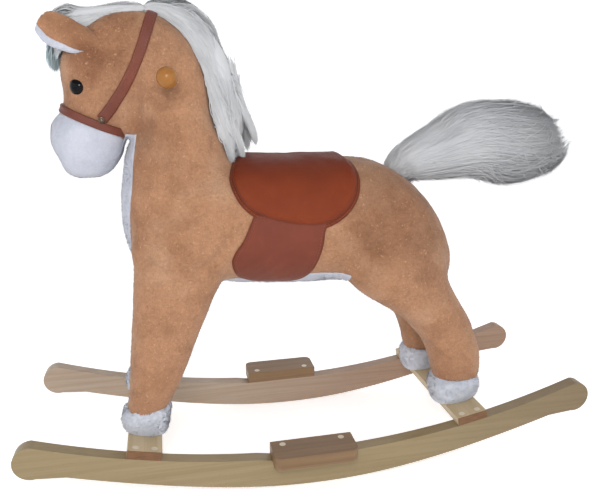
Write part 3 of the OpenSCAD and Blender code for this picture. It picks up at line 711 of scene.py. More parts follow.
mv, mf = loft(HEAD, 0.0, 0, sides=96, steps=16)
bm = bmesh.new()
mvs = [bm.verts.new(p) for p in mv]
for f in mf:
    bm.faces.new([mvs[k] for k in f])
bmesh.ops.bisect_plane(bm, geom=bm.verts[:] + bm.edges[:] + bm.faces[:], plane_co=tuple(NOSE - NOSE_UP * 2.0),
                       plane_no=tuple(NOSE_UP), clear_outer=True)
bmesh.ops.holes_fill(bm, edges=[e for e in bm.edges if e.is_boundary])
bmesh.ops.triangulate(bm, faces=bm.faces[:])
muzzle_mesh = bpy.data.meshes.new("muzzle")
bm.to_mesh(muzzle_mesh)
bm.free()
muzzle_mesh.transform(Matrix.Scale(MM, 4))
muz, muz_tri = arrays(muzzle_mesh)
bpy.data.meshes.remove(muzzle_mesh)
below = -nose_side(muz)
swell = clip01(below / 14)
ridge = bell(muz[:, 1], 1.7) * clip01((below - 8) / 14)
valleys = bell(np.abs(muz[:, 1]) - 4.6, 1.8) * swell
muz = muz + vertex_normals(muz, muz_tri) * (0.2 * swell + 1.7 * ridge - 0.9 * valleys
                                            + 0.5 * waves(muz, 34, 9, 2) * swell)[:, None]
muz_n = vertex_normals(muz, muz_tri)
muzzle = piece("muzzle_plush", muz, muz_tri, looks["white_plush"], slot="white_plush",
               replaces=["muzzle_cover"])

# ---------------------------------------------------------------- cuffs, flat below where they meet the slats
cuffs = []
for end, stations in (("front", FRONT_HOOF), ("rear", REAR_HOOF)):
    tilt = math.radians(BAR_TILT[end])
    up = np.array([math.sin(tilt), 0, math.cos(tilt)])
    bar_lo, bar_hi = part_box("crossbar_" + end)
    slat_top = np.array([(bar_lo.x + bar_hi.x) / 2, 0, (bar_lo.z + bar_hi.z) / 2]) / MM + up * BAR_HALF
    for s, side in SIDES:
        v, f = loft(stations, 0.8, 0, s * LEG_Y, sides=56, square=2.35, steps=7)
        v = v - np.minimum((v - slat_top) @ up, 0)[:, None] * up
        v, t = triangulated(v, f)
        rise = (v - slat_top) @ up
        v = v + vertex_normals(v, t) * (0.9 * waves(v, 16, 21 + s, 2) * clip01(rise / 8))[:, None]
        o = piece(f"hoof_{end}_{side}_plush", v, t, looks["hoof_plush"], slot="white_plush",
                  replaces=[f"hoof_{end}_{side}"])
        cuffs.append((v, t[(rise[t] > 0.8).all(1)], vertex_normals(v, t)))

# ---------------------------------------------------------------- leather pieces on the skin
AXIS_Z = 330.0


def wrap_point(x, theta):
    """The skin's point and normal at x, theta radians round from the top; negative is the left side."""
    return hit(skin_tree, (x, 0, AXIS_Z), (0, math.sin(theta), math.cos(theta)))


def theta_at(x, z):
    """The angle round the body, at x, where the skin's side is at height z."""
    lo, hi = 0.0, math.radians(172)
    for _ in range(18):
        mid = (lo + hi) / 2
        if wrap_point(x, mid)[0][2] > z:
            lo = mid
        else:
            hi = mid
    return (lo + hi) / 2


def even_outline(points, count):
    """A closed outline through (x, theta) points, evenly spaced along the skin."""
    p = catmull(list(points) + [points[0]], 14)[:-1]
    at = np.array([wrap_point(*q)[0] for q in p])
    s = run_length(np.vstack([at, at[:1]]))
    return sampled(np.linspace(0, s[-1], count, endpoint=False), s, np.vstack([p, p[:1]]))


class Pad:
    """A pad on the skin: a polar grid from a centre to its outline, both in (x, theta). profile(rho, points)
    gives the height of its outer face, where rho runs from 0 at the centre to 1 at the rim."""

    def __init__(self, outline, centre, rings, profile):
        m = self.around = len(outline)
        self.rings = rings
        centre = np.array(centre)
        at, rho = [centre], [0.0]
        for k in range(1, rings + 1):
            r = math.sin(0.5 * math.pi * k / rings)
            at += list(centre + r * (outline - centre))
            rho += [r] * m
        on_skin = np.array([wrap_point(*q) for q in at])
        tri = [[0, 1 + i, 1 + (i + 1) % m] for i in range(m)]
        for k in range(rings - 1):
            for i in range(m):
                a, d = 1 + k * m + i, 1 + k * m + (i + 1) % m
                tri += [[a, a + m, d + m], [a, d + m, d]]
        tri = np.array(tri)
        sides = np.concatenate([tri[:, [0, 1]], tri[:, [1, 2]], tri[:, [2, 0]]])
        edges = np.unique(np.sort(sides, axis=1), axis=0)
        self.rho = np.array(rho)
        self.base = relax(on_skin[:, 0], edges, 4, 0.5, (self.rho < 0.999).astype(float))
        self.normal = unit(relax(on_skin[:, 1], edges, 14))
        facing = np.einsum("ij,ij->i", vertex_normals(self.base, tri), self.normal).mean()
        self.tri = tri if facing >= 0 else tri[:, ::-1]
        self.height = profile(self.rho, self.base)

    def line(self, at, values):
        """The values along the closed line at a fraction of the way from the centre to the rim."""
        spokes = [[0] + [1 + k * self.around + i for k in range(self.rings)] for i in range(self.around)]
        return np.array([sampled(at, self.rho[q], values[q]) for q in spokes])

    def lifted(self, at, lift):
        return self.line(at, self.base + self.normal * lift)

    def piece(self, name, look, inner, fill, replaces):
        verts, faces = shell(self.base, self.tri, self.normal, self.height, inner)
        o = piece(name, verts, faces, looks[look], slot="saddle_leatherette", replaces=replaces)

    def stitched(self, name, at, lift):
        verts, faces = stitches(self.lifted(at, lift), self.line(at, self.normal))
        piece(name, verts, faces, looks["stitch"], slot="piping_leatherette")


def stitches(path, normals_at, length=2.6, gap=1.3, radius=0.38, closed=True):
    """Short raised stitches along a path."""
    path, normals_at = (np.vstack([q, q[:1]]) if closed else q for q in (path, normals_at))
    s = run_length(path)
    arch = np.array([-0.35, 0.15, 0.3, 0.15, -0.35])[:, None]
    out = []
    for k in range(int(s[-1] / (length + gap))):
        t = np.linspace(k * (length + gap), k * (length + gap) + length, 5)
        p = sampled(t, s, path) + sampled(t, s, normals_at) * arch
        out.append(tube(p, radius * np.array([0.6, 1, 1, 1, 0.6]), 6, closed=False))
    return merged(*out)


# the saddle seat's lower edge in the side view, and its ends on the back
SEAT_LOW = [(-97, 405), (-103, 394), (-106, 382), (-101, 366), (-89, 350), (-72, 339), (-48, 331), (-20, 326),
            (3, 326), (22, 333), (37, 345), (48, 362), (53, 380), (52, 392), (50, 400)]
SEAT_FRONT, SEAT_REAR, SEAT_CENTRE = (-91.0, 0.0), (48.0, 0.0), (-27.0, 0.0)
FLAP = [(-80, 345), (-94, 315), (-105, 298), (-107, 284), (-100, 268), (-88, 259), (-62, 253.5), (-34, 252),
        (-17, 259), (-7, 275), (0, 296), (3, 318), (3, 345)]
FLAP_CENTRE = (-50, 300)


def seat_profile(rho, base):
    flange = 2.2
    edge = clip01((0.966 - rho) / 0.09)
    crown = 6.0 * (1 - (1 - edge) ** 2.4) + 2.6 * clip01(1 - (rho / 0.9) ** 2)
    sag = -1.6 * bell(np.hypot((base[:, 0] - SEAT_CENTRE[0]) / 42, base[:, 1] / 40), 1)
    puckers = 0.35 * waves(base, 15, 31, 2) * bell(rho - 0.92, 0.06)
    groove = -0.8 * bell(rho - 0.971, 0.008)
    dents = 0.3 * waves(base, 42, 33, 2) * (rho < 0.9)
    return flange + crown + sag + puckers + groove + dents


def flap_profile(rho, base):
    plump = 1.9 * np.sqrt(clip01((1 - rho) / 0.05)) + 0.5 * (1 - rho)
    return 1.2 + plump - 0.6 * bell(rho - 0.93, 0.012) + 0.3 * waves(base, 30, 41, 2)


half = [(x, theta_at(x, z - 0.5)) for x, z in SEAT_LOW if z < wrap_point(x, 0)[0][2] - 3]
outline = [SEAT_FRONT] + half + [SEAT_REAR] + [(x, -t) for x, t in reversed(half)]
seat = Pad(even_outline(outline, 300), SEAT_CENTRE, SEAT_RINGS, seat_profile)
seat.piece("saddle_seat_pad", "saddle", inner=-1.5, fill=0.6, replaces=["saddle_seat"])
welts = merged(tube(seat.lifted(0.955, 3.1), 1.35, 12), tube(seat.lifted(0.998, 1.5), 1.0, 10))
piece("saddle_piping_cord", *welts, looks["piping"], slot="piping_leatherette", replaces=["saddle_piping"])
seat.stitched("saddle_stitches", at=0.985, lift=2.35)
for s, side in SIDES:
    rim = even_outline([(x, s * theta_at(x, z)) for x, z in FLAP], 200)
    flap = Pad(rim, (FLAP_CENTRE[0], s * theta_at(*FLAP_CENTRE)), FLAP_RINGS, flap_profile)
    flap.piece(f"saddle_flap_{side}_panel", "flap", inner=-1.2, fill=0.3, replaces=[f"saddle_flap_{side}"])
    flap.stitched(f"saddle_flap_{side}_stitches", at=0.93, lift=2.7)
    piece(f"saddle_flap_{side}_edge", *tube(flap.lifted(1.0, 1.0), 1.0, 8), looks["piping"],
          slot="piping_leatherette")

# ---------------------------------------------------------------- bridle: bands on the head, as rows x points
head_tree = tree_of(*triangulated(*loft(HEAD, 0.4, 0, sides=80, steps=10)))
BAND_ROWS, STITCHED_ROWS = 7, (1, 5)
NOSEBAND_HALF, STALL_HALF = 4.7, 6


def hits(tree, rays):
    """Points and normals where rays from inside leave a shape."""
    return np.array([hit(tree, o, d, 200) for o, d in rays]).transpose(1, 0, 2)


def band(name, p, n, lift, thick, inner, closed):
    """A strap through points p with normals n, both rows x points x 3, and the stitches along its edges.
    thick and inner are the heights of its outer and inner face, lift that of its stitches."""
    n = unit(n)
    crown = thick * (1 - 0.30 * np.abs(np.linspace(-1, 1, len(p))) ** 4)
    grid = np.concatenate([p + n * crown[:, None, None], (p + n * inner)[::-1]]).transpose(1, 0, 2)
    strap = faced_out(grid.reshape(-1, 3), ring_faces(*grid.shape[:2], closed))
    piece(f"{name}_strap", *strap, looks["bridle"], slot="bridle_leatherette", replaces=[name])
    rows = [stitches(p[k] + n[k] * lift, n[k], 2.2, 1.2, 0.28, closed) for k in STITCHED_ROWS]
    piece(f"{name}_stitches", *merged(*rows), looks["stitch"], slot="bridle_leatherette")


forward = np.array([math.cos(NOSE_TILT), 0, -math.sin(NOSE_TILT)])
out = [forward * math.cos(a) + np.array([0.0, math.sin(a), 0]) for a in 2 * math.pi * np.arange(160) / 160]
p, n = np.array([hits(head_tree, [(NOSE - forward * 8 + NOSE_UP * w, d) for d in out])
                 for w in np.linspace(-NOSEBAND_HALF, NOSEBAND_HALF, BAND_ROWS)]).transpose(1, 0, 2, 3)
n = sum(np.roll(n, k, 1) for k in range(-3, 4))
band("noseband", p, n, lift=1.95, thick=2.0, inner=-0.6, closed=True)

# the headstall lies on an arc in the side view, from the rivet up to STALL_FAN, and from there over the poll
ARC, ARC_R = np.array([-451.0, 0, 640.0]), 275.0
RIVET = (-247, 455)
STALL_LOW, STALL_FAN = math.atan2(RIVET[1] + 1 - ARC[2], RIVET[0] - ARC[0]), math.radians(-18.5)


def stall_rays(w):
    """Rays for one line of the headstall, w off its middle, from the left rivet over the poll to the right
    one."""
    right = [(t, np.array([0, 1.0, 0])) for t in np.linspace(STALL_LOW, STALL_FAN, 46)]
    along = np.array([-math.sin(STALL_FAN), 0, math.cos(STALL_FAN)])
    right += [(STALL_FAN, np.array([0, math.cos(b), 0]) + along * math.sin(b))
              for b in np.radians(np.linspace(4, 90, 30))]
    right = [(ARC + np.array([math.cos(t), 0, math.sin(t)]) * (ARC_R + w), d) for t, d in right]
    return [(o, d * [1, -1, 1]) for o, d in right] + right[-2::-1]


p, n = np.array([hits(skin_tree, stall_rays(w))
                 for w in np.linspace(-STALL_HALF, STALL_HALF, BAND_ROWS)]).transpose(1, 0, 2, 3)
for _ in range(6):
    for q in (p, n):
        q[:, 1:-1] = (q[:, :-2] + 2 * q[:, 1:-1] + q[:, 2:]) / 4
band("headstall", p + n * 0.5, n, lift=2.05, thick=2.1, inner=-1.0, closed=False)

RIVET_PROFILE = [(1.8, -1.5), (3.6, -1.4), (3.8, -0.7), (3.7, 0.0), (3.2, 0.4), (2.7, 0.25), (2.35, 0.4),
                 (2.1, 0.85), (1.6, 1.3), (0.9, 1.6), (0.12, 1.7)]
rivets = []
for s, _ in SIDES:
    p, n = hit(head_tree, (RIVET[0], 0, RIVET[1]), (0, s, 0), 200)
    n = unit(n * 0.6 + np.array([0, s, 0]))
    rivets.append(lathe(RIVET_PROFILE, p + n * 3.3, n))
piece("bridle_rivet_caps", *merged(*rivets), looks["metal"], slot="rivet_metal", replaces=["bridle_rivets"])

# ---------------------------------------------------------------- ears: a tan back and a white lining
EAR_LONG, EAR_UP = 0.91, 0.42
ear_faces = {"tan": [], "white": []}
for s, side in SIDES:
    v, t = triangulated(*loft(EAR, 0.0, None, s * EAR_Y, sides=56, square=2.0, steps=8))
    root = np.array([-244.0, s * EAR_Y, 541.0])

    def to_lower_edge(p):
        return -((p - root)[:, 2] * EAR_LONG + (p - root)[:, 0] * EAR_UP)

    def tan_side(p):
        q = to_lower_edge(p)
        return s * (p[:, 1] - s * EAR_Y) - 0.4 - 0.3 * (q - 2) - 0.006 * np.clip(q, 0, 30) ** 2

    q = to_lower_edge(v)
    along = (v - root) @ [-EAR_LONG, 0, EAR_UP]
    hollow = clip01(1 - (q / 17) ** 2) * clip01(along / 20) * clip01((66 - along) / 30)
    inner = clip01(-(s * (v[:, 1] - s * EAR_Y)) / 4)
    v[:, 1] += s * 8.5 * hollow * inner
    v[:, 1] += s * 3.0 * clip01(along / 60) * (0.4 + q / 40)
    v = v + vertex_normals(v, t) * (0.5 * waves(v, 26, 51, 2))[:, None]
    for name, sign, colour, out, replaced in ((f"ear_{side}_back", 1, "tan", 0.9, f"ear_{side}"),
                                              (f"ear_{side}_lining", -1, "white", 0.4, f"ear_lining_{side}")):
        pv, pt = cut(v, t, [lambda p: sign * tan_side(p)])
        pn = vertex_normals(pv, pt)
        o = piece(name, *shell(pv, pt, pn, out, -1.6), looks[colour + "_plush"], slot=colour + "_plush",
                  replaces=[replaced])
        ear_faces[colour].append((pv + pn * out, pt, pn))


# ---------------------------------------------------------------- short pile
def with_tone(name, verts, faces, n, tone, material, body):
    """A piece of strands with its own vertex normals, and the tone of each vertex for its material."""
    me = mesh_of(name, verts, faces)
    me.normals_split_custom_set_from_vertices(n.tolist())
    values = clip01(tone).astype(np.float32)
    me.attributes.new("tone", "FLOAT", "POINT").data.foreach_set("value", values)
    return place(name, me, material, body)


def blades(name, p, n, lean, length, width, look, tone, spread=0.25):
    """One small tapered blade for each point p with normal n, leaning along the unit vectors lean."""
    m = len(p)
    tip_dir = lean * rng.uniform(0.75, 1.05, m)[:, None] + n * rng.uniform(0.42, 0.75, m)[:, None]
    tip_dir = unit(tip_dir + rng.normal(0, spread, (m, 3)))
    side = unit(np.cross(tip_dir, n))
    size = length * rng.uniform(0.7, 1.2, m)[:, None]
    w = width * rng.uniform(0.7, 1.25, m)[:, None]
    root = p - n * 0.5
    v = np.stack([root - side * w, root + side * w, root + tip_dir * size], 1)
    flip = np.einsum("ij,ij->i", np.cross(v[:, 1] - v[:, 0], v[:, 2] - v[:, 0]), n) < 0
    v[flip, :2] = v[flip, 1::-1]
    blend_n = unit(n + rng.normal(0, 0.22, (m, 3)) + 0.25 * tip_dir)
    tone = clip01(tone + rng.normal(0, 0.16, m))
    with_tone(name, v.reshape(-1, 3), np.arange(m * 3).reshape(m, 3), np.repeat(blend_n, 3, 0),
              np.stack([tone * 0.82, tone * 0.82, tone], 1).ravel(), looks[look], "horse")


def scatter(v, t, n, spacing):
    """Random points on a triangle mesh, one for each spacing squared, with normals."""
    area = np.linalg.norm(np.cross(v[t[:, 1]] - v[t[:, 0]], v[t[:, 2]] - v[t[:, 0]]), axis=1) / 2
    count = int(area.sum() / spacing ** 2)
    at = np.sort(rng.choice(len(t), count, p=area / area.sum()))
    r1, r2 = np.sqrt(rng.random(count)), rng.random(count)
    w = np.stack([1 - r1, r1 * (1 - r2), r1 * r2], 1)[:, :, None]
    return (v[t[at]] * w).sum(1), unit((n[t[at]] * w).sum(1))


def nap(p, n, down=(0.35, 0, -1.0), swirl=0.5, seed=61):
    """The way the pile lies: down and back, wandering a little."""
    d = np.array(down) + swirl * np.stack([waves(p, 60, seed + k, 2) for k in range(3)], 1)
    return unit(d - n * np.einsum("ij,ij->i", d, n)[:, None])


def inside_outline(points, x, z):
    ring = np.array(points)
    inside = np.zeros(len(x), bool)
    for (x1, z1), (x2, z2) in zip(ring, np.roll(ring, -1, 0)):
        inside ^= ((z1 > z) != (z2 > z)) & (x < (x2 - x1) * (z - z1) / (z2 - z1 + 1e-9) + x1)
    return inside


def covered(p):
    """Where another piece lies on the skin, or the skin is inside the cuffs, so that no pile grows."""
    x, y, z = p.T
    seat = inside_outline([(-80, 440)] + SEAT_LOW + [(44, 440)], x, z) & (x > -101)
    flap = inside_outline(FLAP, x, z)
    muzzle = (nose_side(p) < 4.5) & (x < -215) & (z > 380) & (x < -232 + 0.1 * (z - 400))
    panels = [np.all([f(p) > -0.3 for f in fields], axis=0) for fields in (chest_fields, belly_fields)]
    off_arc = np.abs(np.hypot(x - ARC[0], z - ARC[2]) - ARC_R)
    headstall = (off_arc < STALL_HALF + 0.3) & (z > RIVET[1]) & (x < -175)
    cuff = z < np.where(x < 0, 101, 96)
    eye = (np.abs(np.abs(y) - EYE[1]) < 12) & (np.hypot(x - EYE[0], z - EYE[2]) < 9.3)
    return np.any([seat, flap, muzzle, *panels, headstall, cuff, eye], axis=0)


rng = np.random.default_rng(20)
WAIST_X, LEGS_Z, HEAD_Z = -60, 250, 440
p, n = scatter(skin, skin_tri, normals, PILE_GAP)
open_skin = ~covered(p)
p, n = p[open_skin], n[open_skin]
fore = p[:, 0] < WAIST_X
head, legs = p[:, 2] > HEAD_Z, p[:, 2] < LEGS_Z
for name, zone in (("head", fore & head), ("front_legs", fore & legs), ("shoulders", fore & ~legs & ~head),
                   ("rump", ~fore & ~legs), ("rear_legs", ~fore & legs)):
    q, m = p[zone], n[zone]
    blades("pile_" + name, q, m, nap(q, m), 2.3, 0.5, "tan_pile",
           0.52 + 0.12 * waves(q, 30, 71, 2))


def white_pile(name, sets, length, width, spacing, down, swirl, spread, look="white_pile"):
    q, m = (np.concatenate(x) for x in zip(*[scatter(*faces, spacing) for faces in sets]))
    blades(name, q, m, nap(q, m, down, swirl, 81), length, width, look,
           0.55 + 0.1 * waves(q, 20, 91, 2), spread)


white_pile("pile_panels", panel_faces, 2.6, 0.5, PILE_GAP, (0.2, 0, -1.0), 0.8, 0.45)
muzzle_faces = (muz, muz_tri[(-nose_side(muz)[muz_tri] > 3.5).all(1)], muz_n)
white_pile("pile_muzzle", [muzzle_faces], 1.7, 0.5, PILE_GAP * 0.75, (0.3, 0, -1.0), 0.7, 0.3)
white_pile("pile_hooves", cuffs, 3.2, 0.7, PILE_GAP * 0.72, (0.0, 0, -0.7), 1.4, 0.5, "hoof_pile")
for colour, sets in ear_faces.items():
    q, m = (np.concatenate(x) for x in zip(*[scatter(*faces, PILE_GAP) for faces in sets]))
    blades("pile_ears_" + colour, q, m, nap(q, m, (-1, 0, 0.3)), 2.0, 0.45, colour + "_pile",
           0.5 + 0.1 * waves(q, 20, 95, 2))


# ---------------------------------------------------------------- long hair
def hair(name, paths, widths, out, tone, look="fur", body="horse"):
    """Tapered ribbons: paths is strands x points x 3, with a half width and a normal, out, at each point."""
    m, k, _ = paths.shape
    side = unit(np.cross(unit(np.gradient(paths, axis=1)), out))
    w = widths[..., None]

    def with_tip(left, right, tip):
        """Both edges of every ribbon, which close in one point at its tip."""
        edges = np.stack([left[:, :-1], right[:, :-1]], 2).reshape(m, 2 * k - 2, -1)
        return np.concatenate([edges, tip[:, -1:].reshape(m, 1, -1)], 1)

    v = with_tip(paths - side * w, paths + side * w, paths)
    tri = []
    for i in range(0, 2 * k - 4, 2):
        tri += [[i, i + 1, i + 3], [i, i + 3, i + 2]]
    tri += [[2 * k - 4, 2 * k - 3, 2 * k - 2]]
    faces = (np.array(tri)[None] + (np.arange(m) * v.shape[1])[:, None, None]).reshape(-1, 3)
    with_tone(name, v.reshape(-1, 3), faces, with_tip(out, out, out).reshape(-1, 3),
              with_tip(tone, tone, tone).ravel(), looks[look], body)


def squared(out, paths):
    """The strands' normals, made square to the strands."""
    tangent = unit(np.gradient(paths, axis=1))
    return unit(out - tangent * np.einsum("ijk,ijk->ij", out, tangent)[..., None])


def wander(a, b, c, shift, scale, seed):
    """A smooth random offset for each strand; strands with like keys a, b and c stay together."""
    keys = [np.stack([a + k * shift, b, c], 1) for k in range(3)]
    return np.stack([waves(key, scale, seed + k, 2) for k, key in enumerate(keys)], 1)[:, None]


def bow(a, b, c, points):
    """Curved strands from a towards b to c, each a row of starting, middle and end points."""
    t = np.linspace(0, 1, points)[None, :, None]
    a, b, c = (q[:, None] for q in (a, b, c))
    return (1 - t) ** 2 * a + 2 * t * (1 - t) * b + t ** 2 * c


def strands_in(share):
    return int(share * HAIR_SHARE)


def hair_mass(name, inner, outer, half_width, count, locks, starts, spans, seed, ragged, depth=(0.55, 1.02),
              curl=1.5):
    """Strands between an inner and an outer line of the side view, which run from root to tip. half_width is
    the spread in y along the lines. Strands are gathered into locks whose tips draw together."""
    inner, outer = catmull(inner, 10), catmull(outer, 10)
    along_inner, along_outer, along_width = (np.linspace(0, 1, len(a)) for a in (inner, outer, half_width))
    count = strands_in(count)
    lock_a = rng.uniform(-1, 1, locks)                       # round the section: -1 left, 1 right
    lock_start, lock_span, lock_d = (rng.uniform(*r, locks) for r in (starts, spans, depth))
    lock_tone = rng.uniform(0.45, 0.75, locks)
    which = rng.integers(0, locks, count)
    a0 = lock_a[which] + rng.normal(0, 0.10, count)
    a1 = lock_a[which] + rng.normal(0, 0.03, count)
    rng.normal(0, 0.2, count)            # not used; it keeps the draws after it as they were
    ts = np.linspace(0, 1, 8)[None]
    start = clip01(lock_start[which] + rng.normal(0, 0.03, count))[:, None]
    t = clip01(start + (lock_span[which] * rng.uniform(1 - ragged, 1 + ragged * 0.4, count))[:, None] * ts)
    a = a0[:, None] * (1 - ts ** 1.5) + a1[:, None] * ts ** 1.5
    rising = 1 - (1 - np.minimum(ts * 2.4, 1)) ** 2
    d = lock_d[which][:, None] * rising + rng.normal(0, 0.03, count)[:, None]
    angle = np.clip(a, -1.15, 1.15) * np.pi / 2
    low = sampled(t, along_inner, inner)
    across = sampled(t, along_outer, outer) - low
    x, z = np.moveaxis(low + across * (np.cos(angle) * d)[..., None], -1, 0)
    y = np.interp(t, along_width, half_width) * np.sin(angle) * (0.75 + 0.25 * d)
    p = np.stack([x, y, z], -1)
    p += wander(x[:, 0], which * 9.0, t[:, -1] * 90, 50, 30, seed) * (curl * ts ** 2)[..., None]
    up = across / np.maximum(np.linalg.norm(across, axis=-1), 1.0)[..., None] * np.cos(angle)[..., None]
    out = np.stack([up[..., 0], np.sin(angle), up[..., 1]], -1) + rng.normal(0, 0.1, (count, 1, 3))
    taper = 0.5 * (0.75 + 0.25 * np.sin(np.pi * ts)) * (1 - 0.85 * ts ** 3)
    taper = taper * rng.uniform(0.7, 1.3, count)[:, None]
    tone = lock_tone[which][:, None] + rng.normal(0, 0.07, (count, 1)) - 0.06 * (1 - ts)
    hair(name, p, taper, squared(out, p), tone)


def hair_base(name, stations, sides, body, slot, replaced):
    """What the hair grows from, which shows between the strands."""
    v, f = loft(stations, 0, None, sides=sides, steps=8)
    piece(name, v, f, looks["fur_base"], body=body, slot=slot, replaces=[replaced])


mane_inner = [(-198, 574), (-176, 572), (-150, 553), (-137, 534), (-127, 512), (-122, 490), (-117, 465),
              (-110, 440), (-104, 424), (-98, 410)]
mane_outer = [(-196, 588), (-172, 590), (-149, 589), (-130, 579), (-114, 562), (-105, 538), (-91, 510),
              (-85, 486), (-82, 462), (-82, 440)]
mane_width = np.array([14, 20, 25, 29, 31, 31, 32, 33, 32, 24.0])
hair_base("mane_base", [[-96, 420, 6, 14], [-100, 440, 13, 25], [-105, 472, 17, 28], [-112, 508, 18, 27],
                        [-129, 541, 18, 26], [-150, 566, 15, 22], [-177, 578, 9, 15], [-192, 581, 3, 9]],
          40, "horse", "long_white_fur", "mane")
for part in range(2):
    hair_mass(f"mane_hair_{part + 1}", mane_inner, mane_outer, mane_width, count=9000, locks=330,
              starts=(-0.02, 0.8), spans=(0.16, 0.34), seed=101 + part, ragged=0.25, curl=2.5)
hair_mass("mane_tips", mane_inner, mane_outer, mane_width * 0.9, count=3000, locks=70, starts=(0.55, 0.84),
          spans=(0.2, 0.34), seed=111, ragged=0.3, depth=(0.45, 1.02), curl=2.5)

# the long locks over the saddle's front: root, knee and tip of each in the side view, y, spread at the tip
LOCKS = [((-97, 500), (-82, 466), (-66, 425), -12, 2.0), ((-94, 492), (-84, 462), (-68, 431), 4, 3.0),
         ((-104, 476), (-96, 442), (-84, 410), -22, 2.4), ((-106, 470), (-99, 440), (-92, 408), -8, 4.0),
         ((-98, 496), (-84, 462), (-73, 420), 17, 3.5), ((-106, 472), (-99, 440), (-90, 404), 26, 3.5),
         ((-112, 462), (-106, 436), (-99, 408), -30, 3.0)]
locks = []
for root, knee, tip, y, spread in LOCKS:
    stops = ((root, 0.55, np.array([3.5, 6, 9])), (knee, 0.85, np.array([3.2, 4.5, 5])),
             (tip, 1.0, np.array([0.6, 0.5, 1.6]) * spread))
    locks.append(bow(*[np.array([x, y * k, z]) + rng.normal(0, 1, (strands_in(850), 3)) * w
                       for (x, z), k, w in stops], 9))
locks = np.concatenate(locks)
m = len(locks)
out = np.zeros_like(locks) + rng.normal(0, 0.12, (m, 1, 3)) + [0.3, 0, 0.25]
out[:, :, 1] += np.clip(locks[:, -1:, 1] / 10, -0.9, 0.9)
flat = np.zeros((m, 9))
hair("mane_locks", locks, 0.6 * (1 - 0.85 * np.linspace(0, 1, 9) ** 2) + flat, squared(out, locks),
     rng.uniform(0.45, 0.75, (m, 1)) + flat)

# forelock: a band over the poll, and a tuft that hangs on the forehead
fore_inner = [(-188, 576), (-208, 572), (-232, 566), (-262, 552), (-284, 536), (-292, 520)]
fore_outer = [(-188, 587), (-204, 587), (-220, 585), (-241, 581), (-260, 579), (-277, 582), (-291, 576),
              (-300, 561), (-303, 542)]
hair_base("forelock_base", [[-294, 540, 4, 6], [-288, 556, 9, 14], [-270, 566, 11, 20], [-246, 572, 8, 22],
                            [-218, 577, 6, 20], [-194, 579, 4, 13]],
          36, "horse", "long_white_fur", "forelock")
hair_mass("forelock_hair", fore_inner, fore_outer, np.array([16, 22, 26, 28, 24, 14.0]), count=6500,
          locks=150, starts=(-0.05, 0.7), spans=(0.22, 0.42), seed=121, ragged=0.25, curl=2.0)
m = strands_in(3200)
side_off = rng.normal(0, 1, (m, 1)) * [1, 0, 0]
root, knee, tip = (np.array(at) + rng.normal(0, 1, (m, 3)) * w + side_off * k for at, w, k in
                   (((-284.0, -2, 552), [5, 8, 4], 0), ((-295.0, -7, 536), [1.5, 6, 4], 4),
                    ((-295.5, -10, 516), [1.2, 3.0, 4.0], 2)))
tuft = bow(root, knee, tip, 8)
out = unit(np.zeros_like(tuft) + rng.normal(0, 0.25, (m, 1, 3)) + [-0.7, -0.5, 0.2])
flat = np.zeros((m, 8))
# the tuft's greyer fur is painted shade
hair("forelock_tuft", tuft, 0.7 * (1 - 0.85 * np.linspace(0, 1, 8) ** 2) + flat, out,
     rng.uniform(0.25, 0.8, (m, 1)) + flat, "shaded_tuft_fur")

# tail: a stuffed root, a core and the hair, which fills these stations
hair_base("tail_root", [[119, 382, 9, 9], [128, 389, 12, 12], [142, 394, 12.5, 12.5], [158, 398, 12, 12],
                        [172, 401, 8, 8]], 36, "tail_dock", "tan_plush", "tail_dock")
core_v, core_f = loft([[136, 392, 10, 10], [148, 396, 18, 17], [174, 402, 27, 22], [210, 413, 36, 27],
                       [250, 416, 40, 29], [290, 411, 42, 26], [325, 410, 36, 21], [345, 412, 27, 15],
                       [357, 414, 14, 8]], 0, None, sides=48, steps=8)
core_n = vertex_normals(core_v, np.array([q[:3] for q in core_f if len(q) == 4]))
core_v = core_v + core_n * (1.5 * waves(core_v * [0.4, 1, 1], 26, 131, 2))[:, None]
piece("tail_base", core_v, core_f, looks["fur_base"], body="tail", slot="long_white_fur",
      replaces=["tail_hair"])
tail = catmull([[122, 374, 20, 16], [130, 383, 23, 20], [140, 390, 26, 24], [156, 396, 31, 28],
                [182, 403, 38, 31], [216, 414, 48, 35], [248, 417, 52, 37], [278, 412, 56, 36],
                [312, 410, 53, 31], [338, 411, 46, 26], [356, 416, 36, 19], [367, 422, 27, 13]], 10)


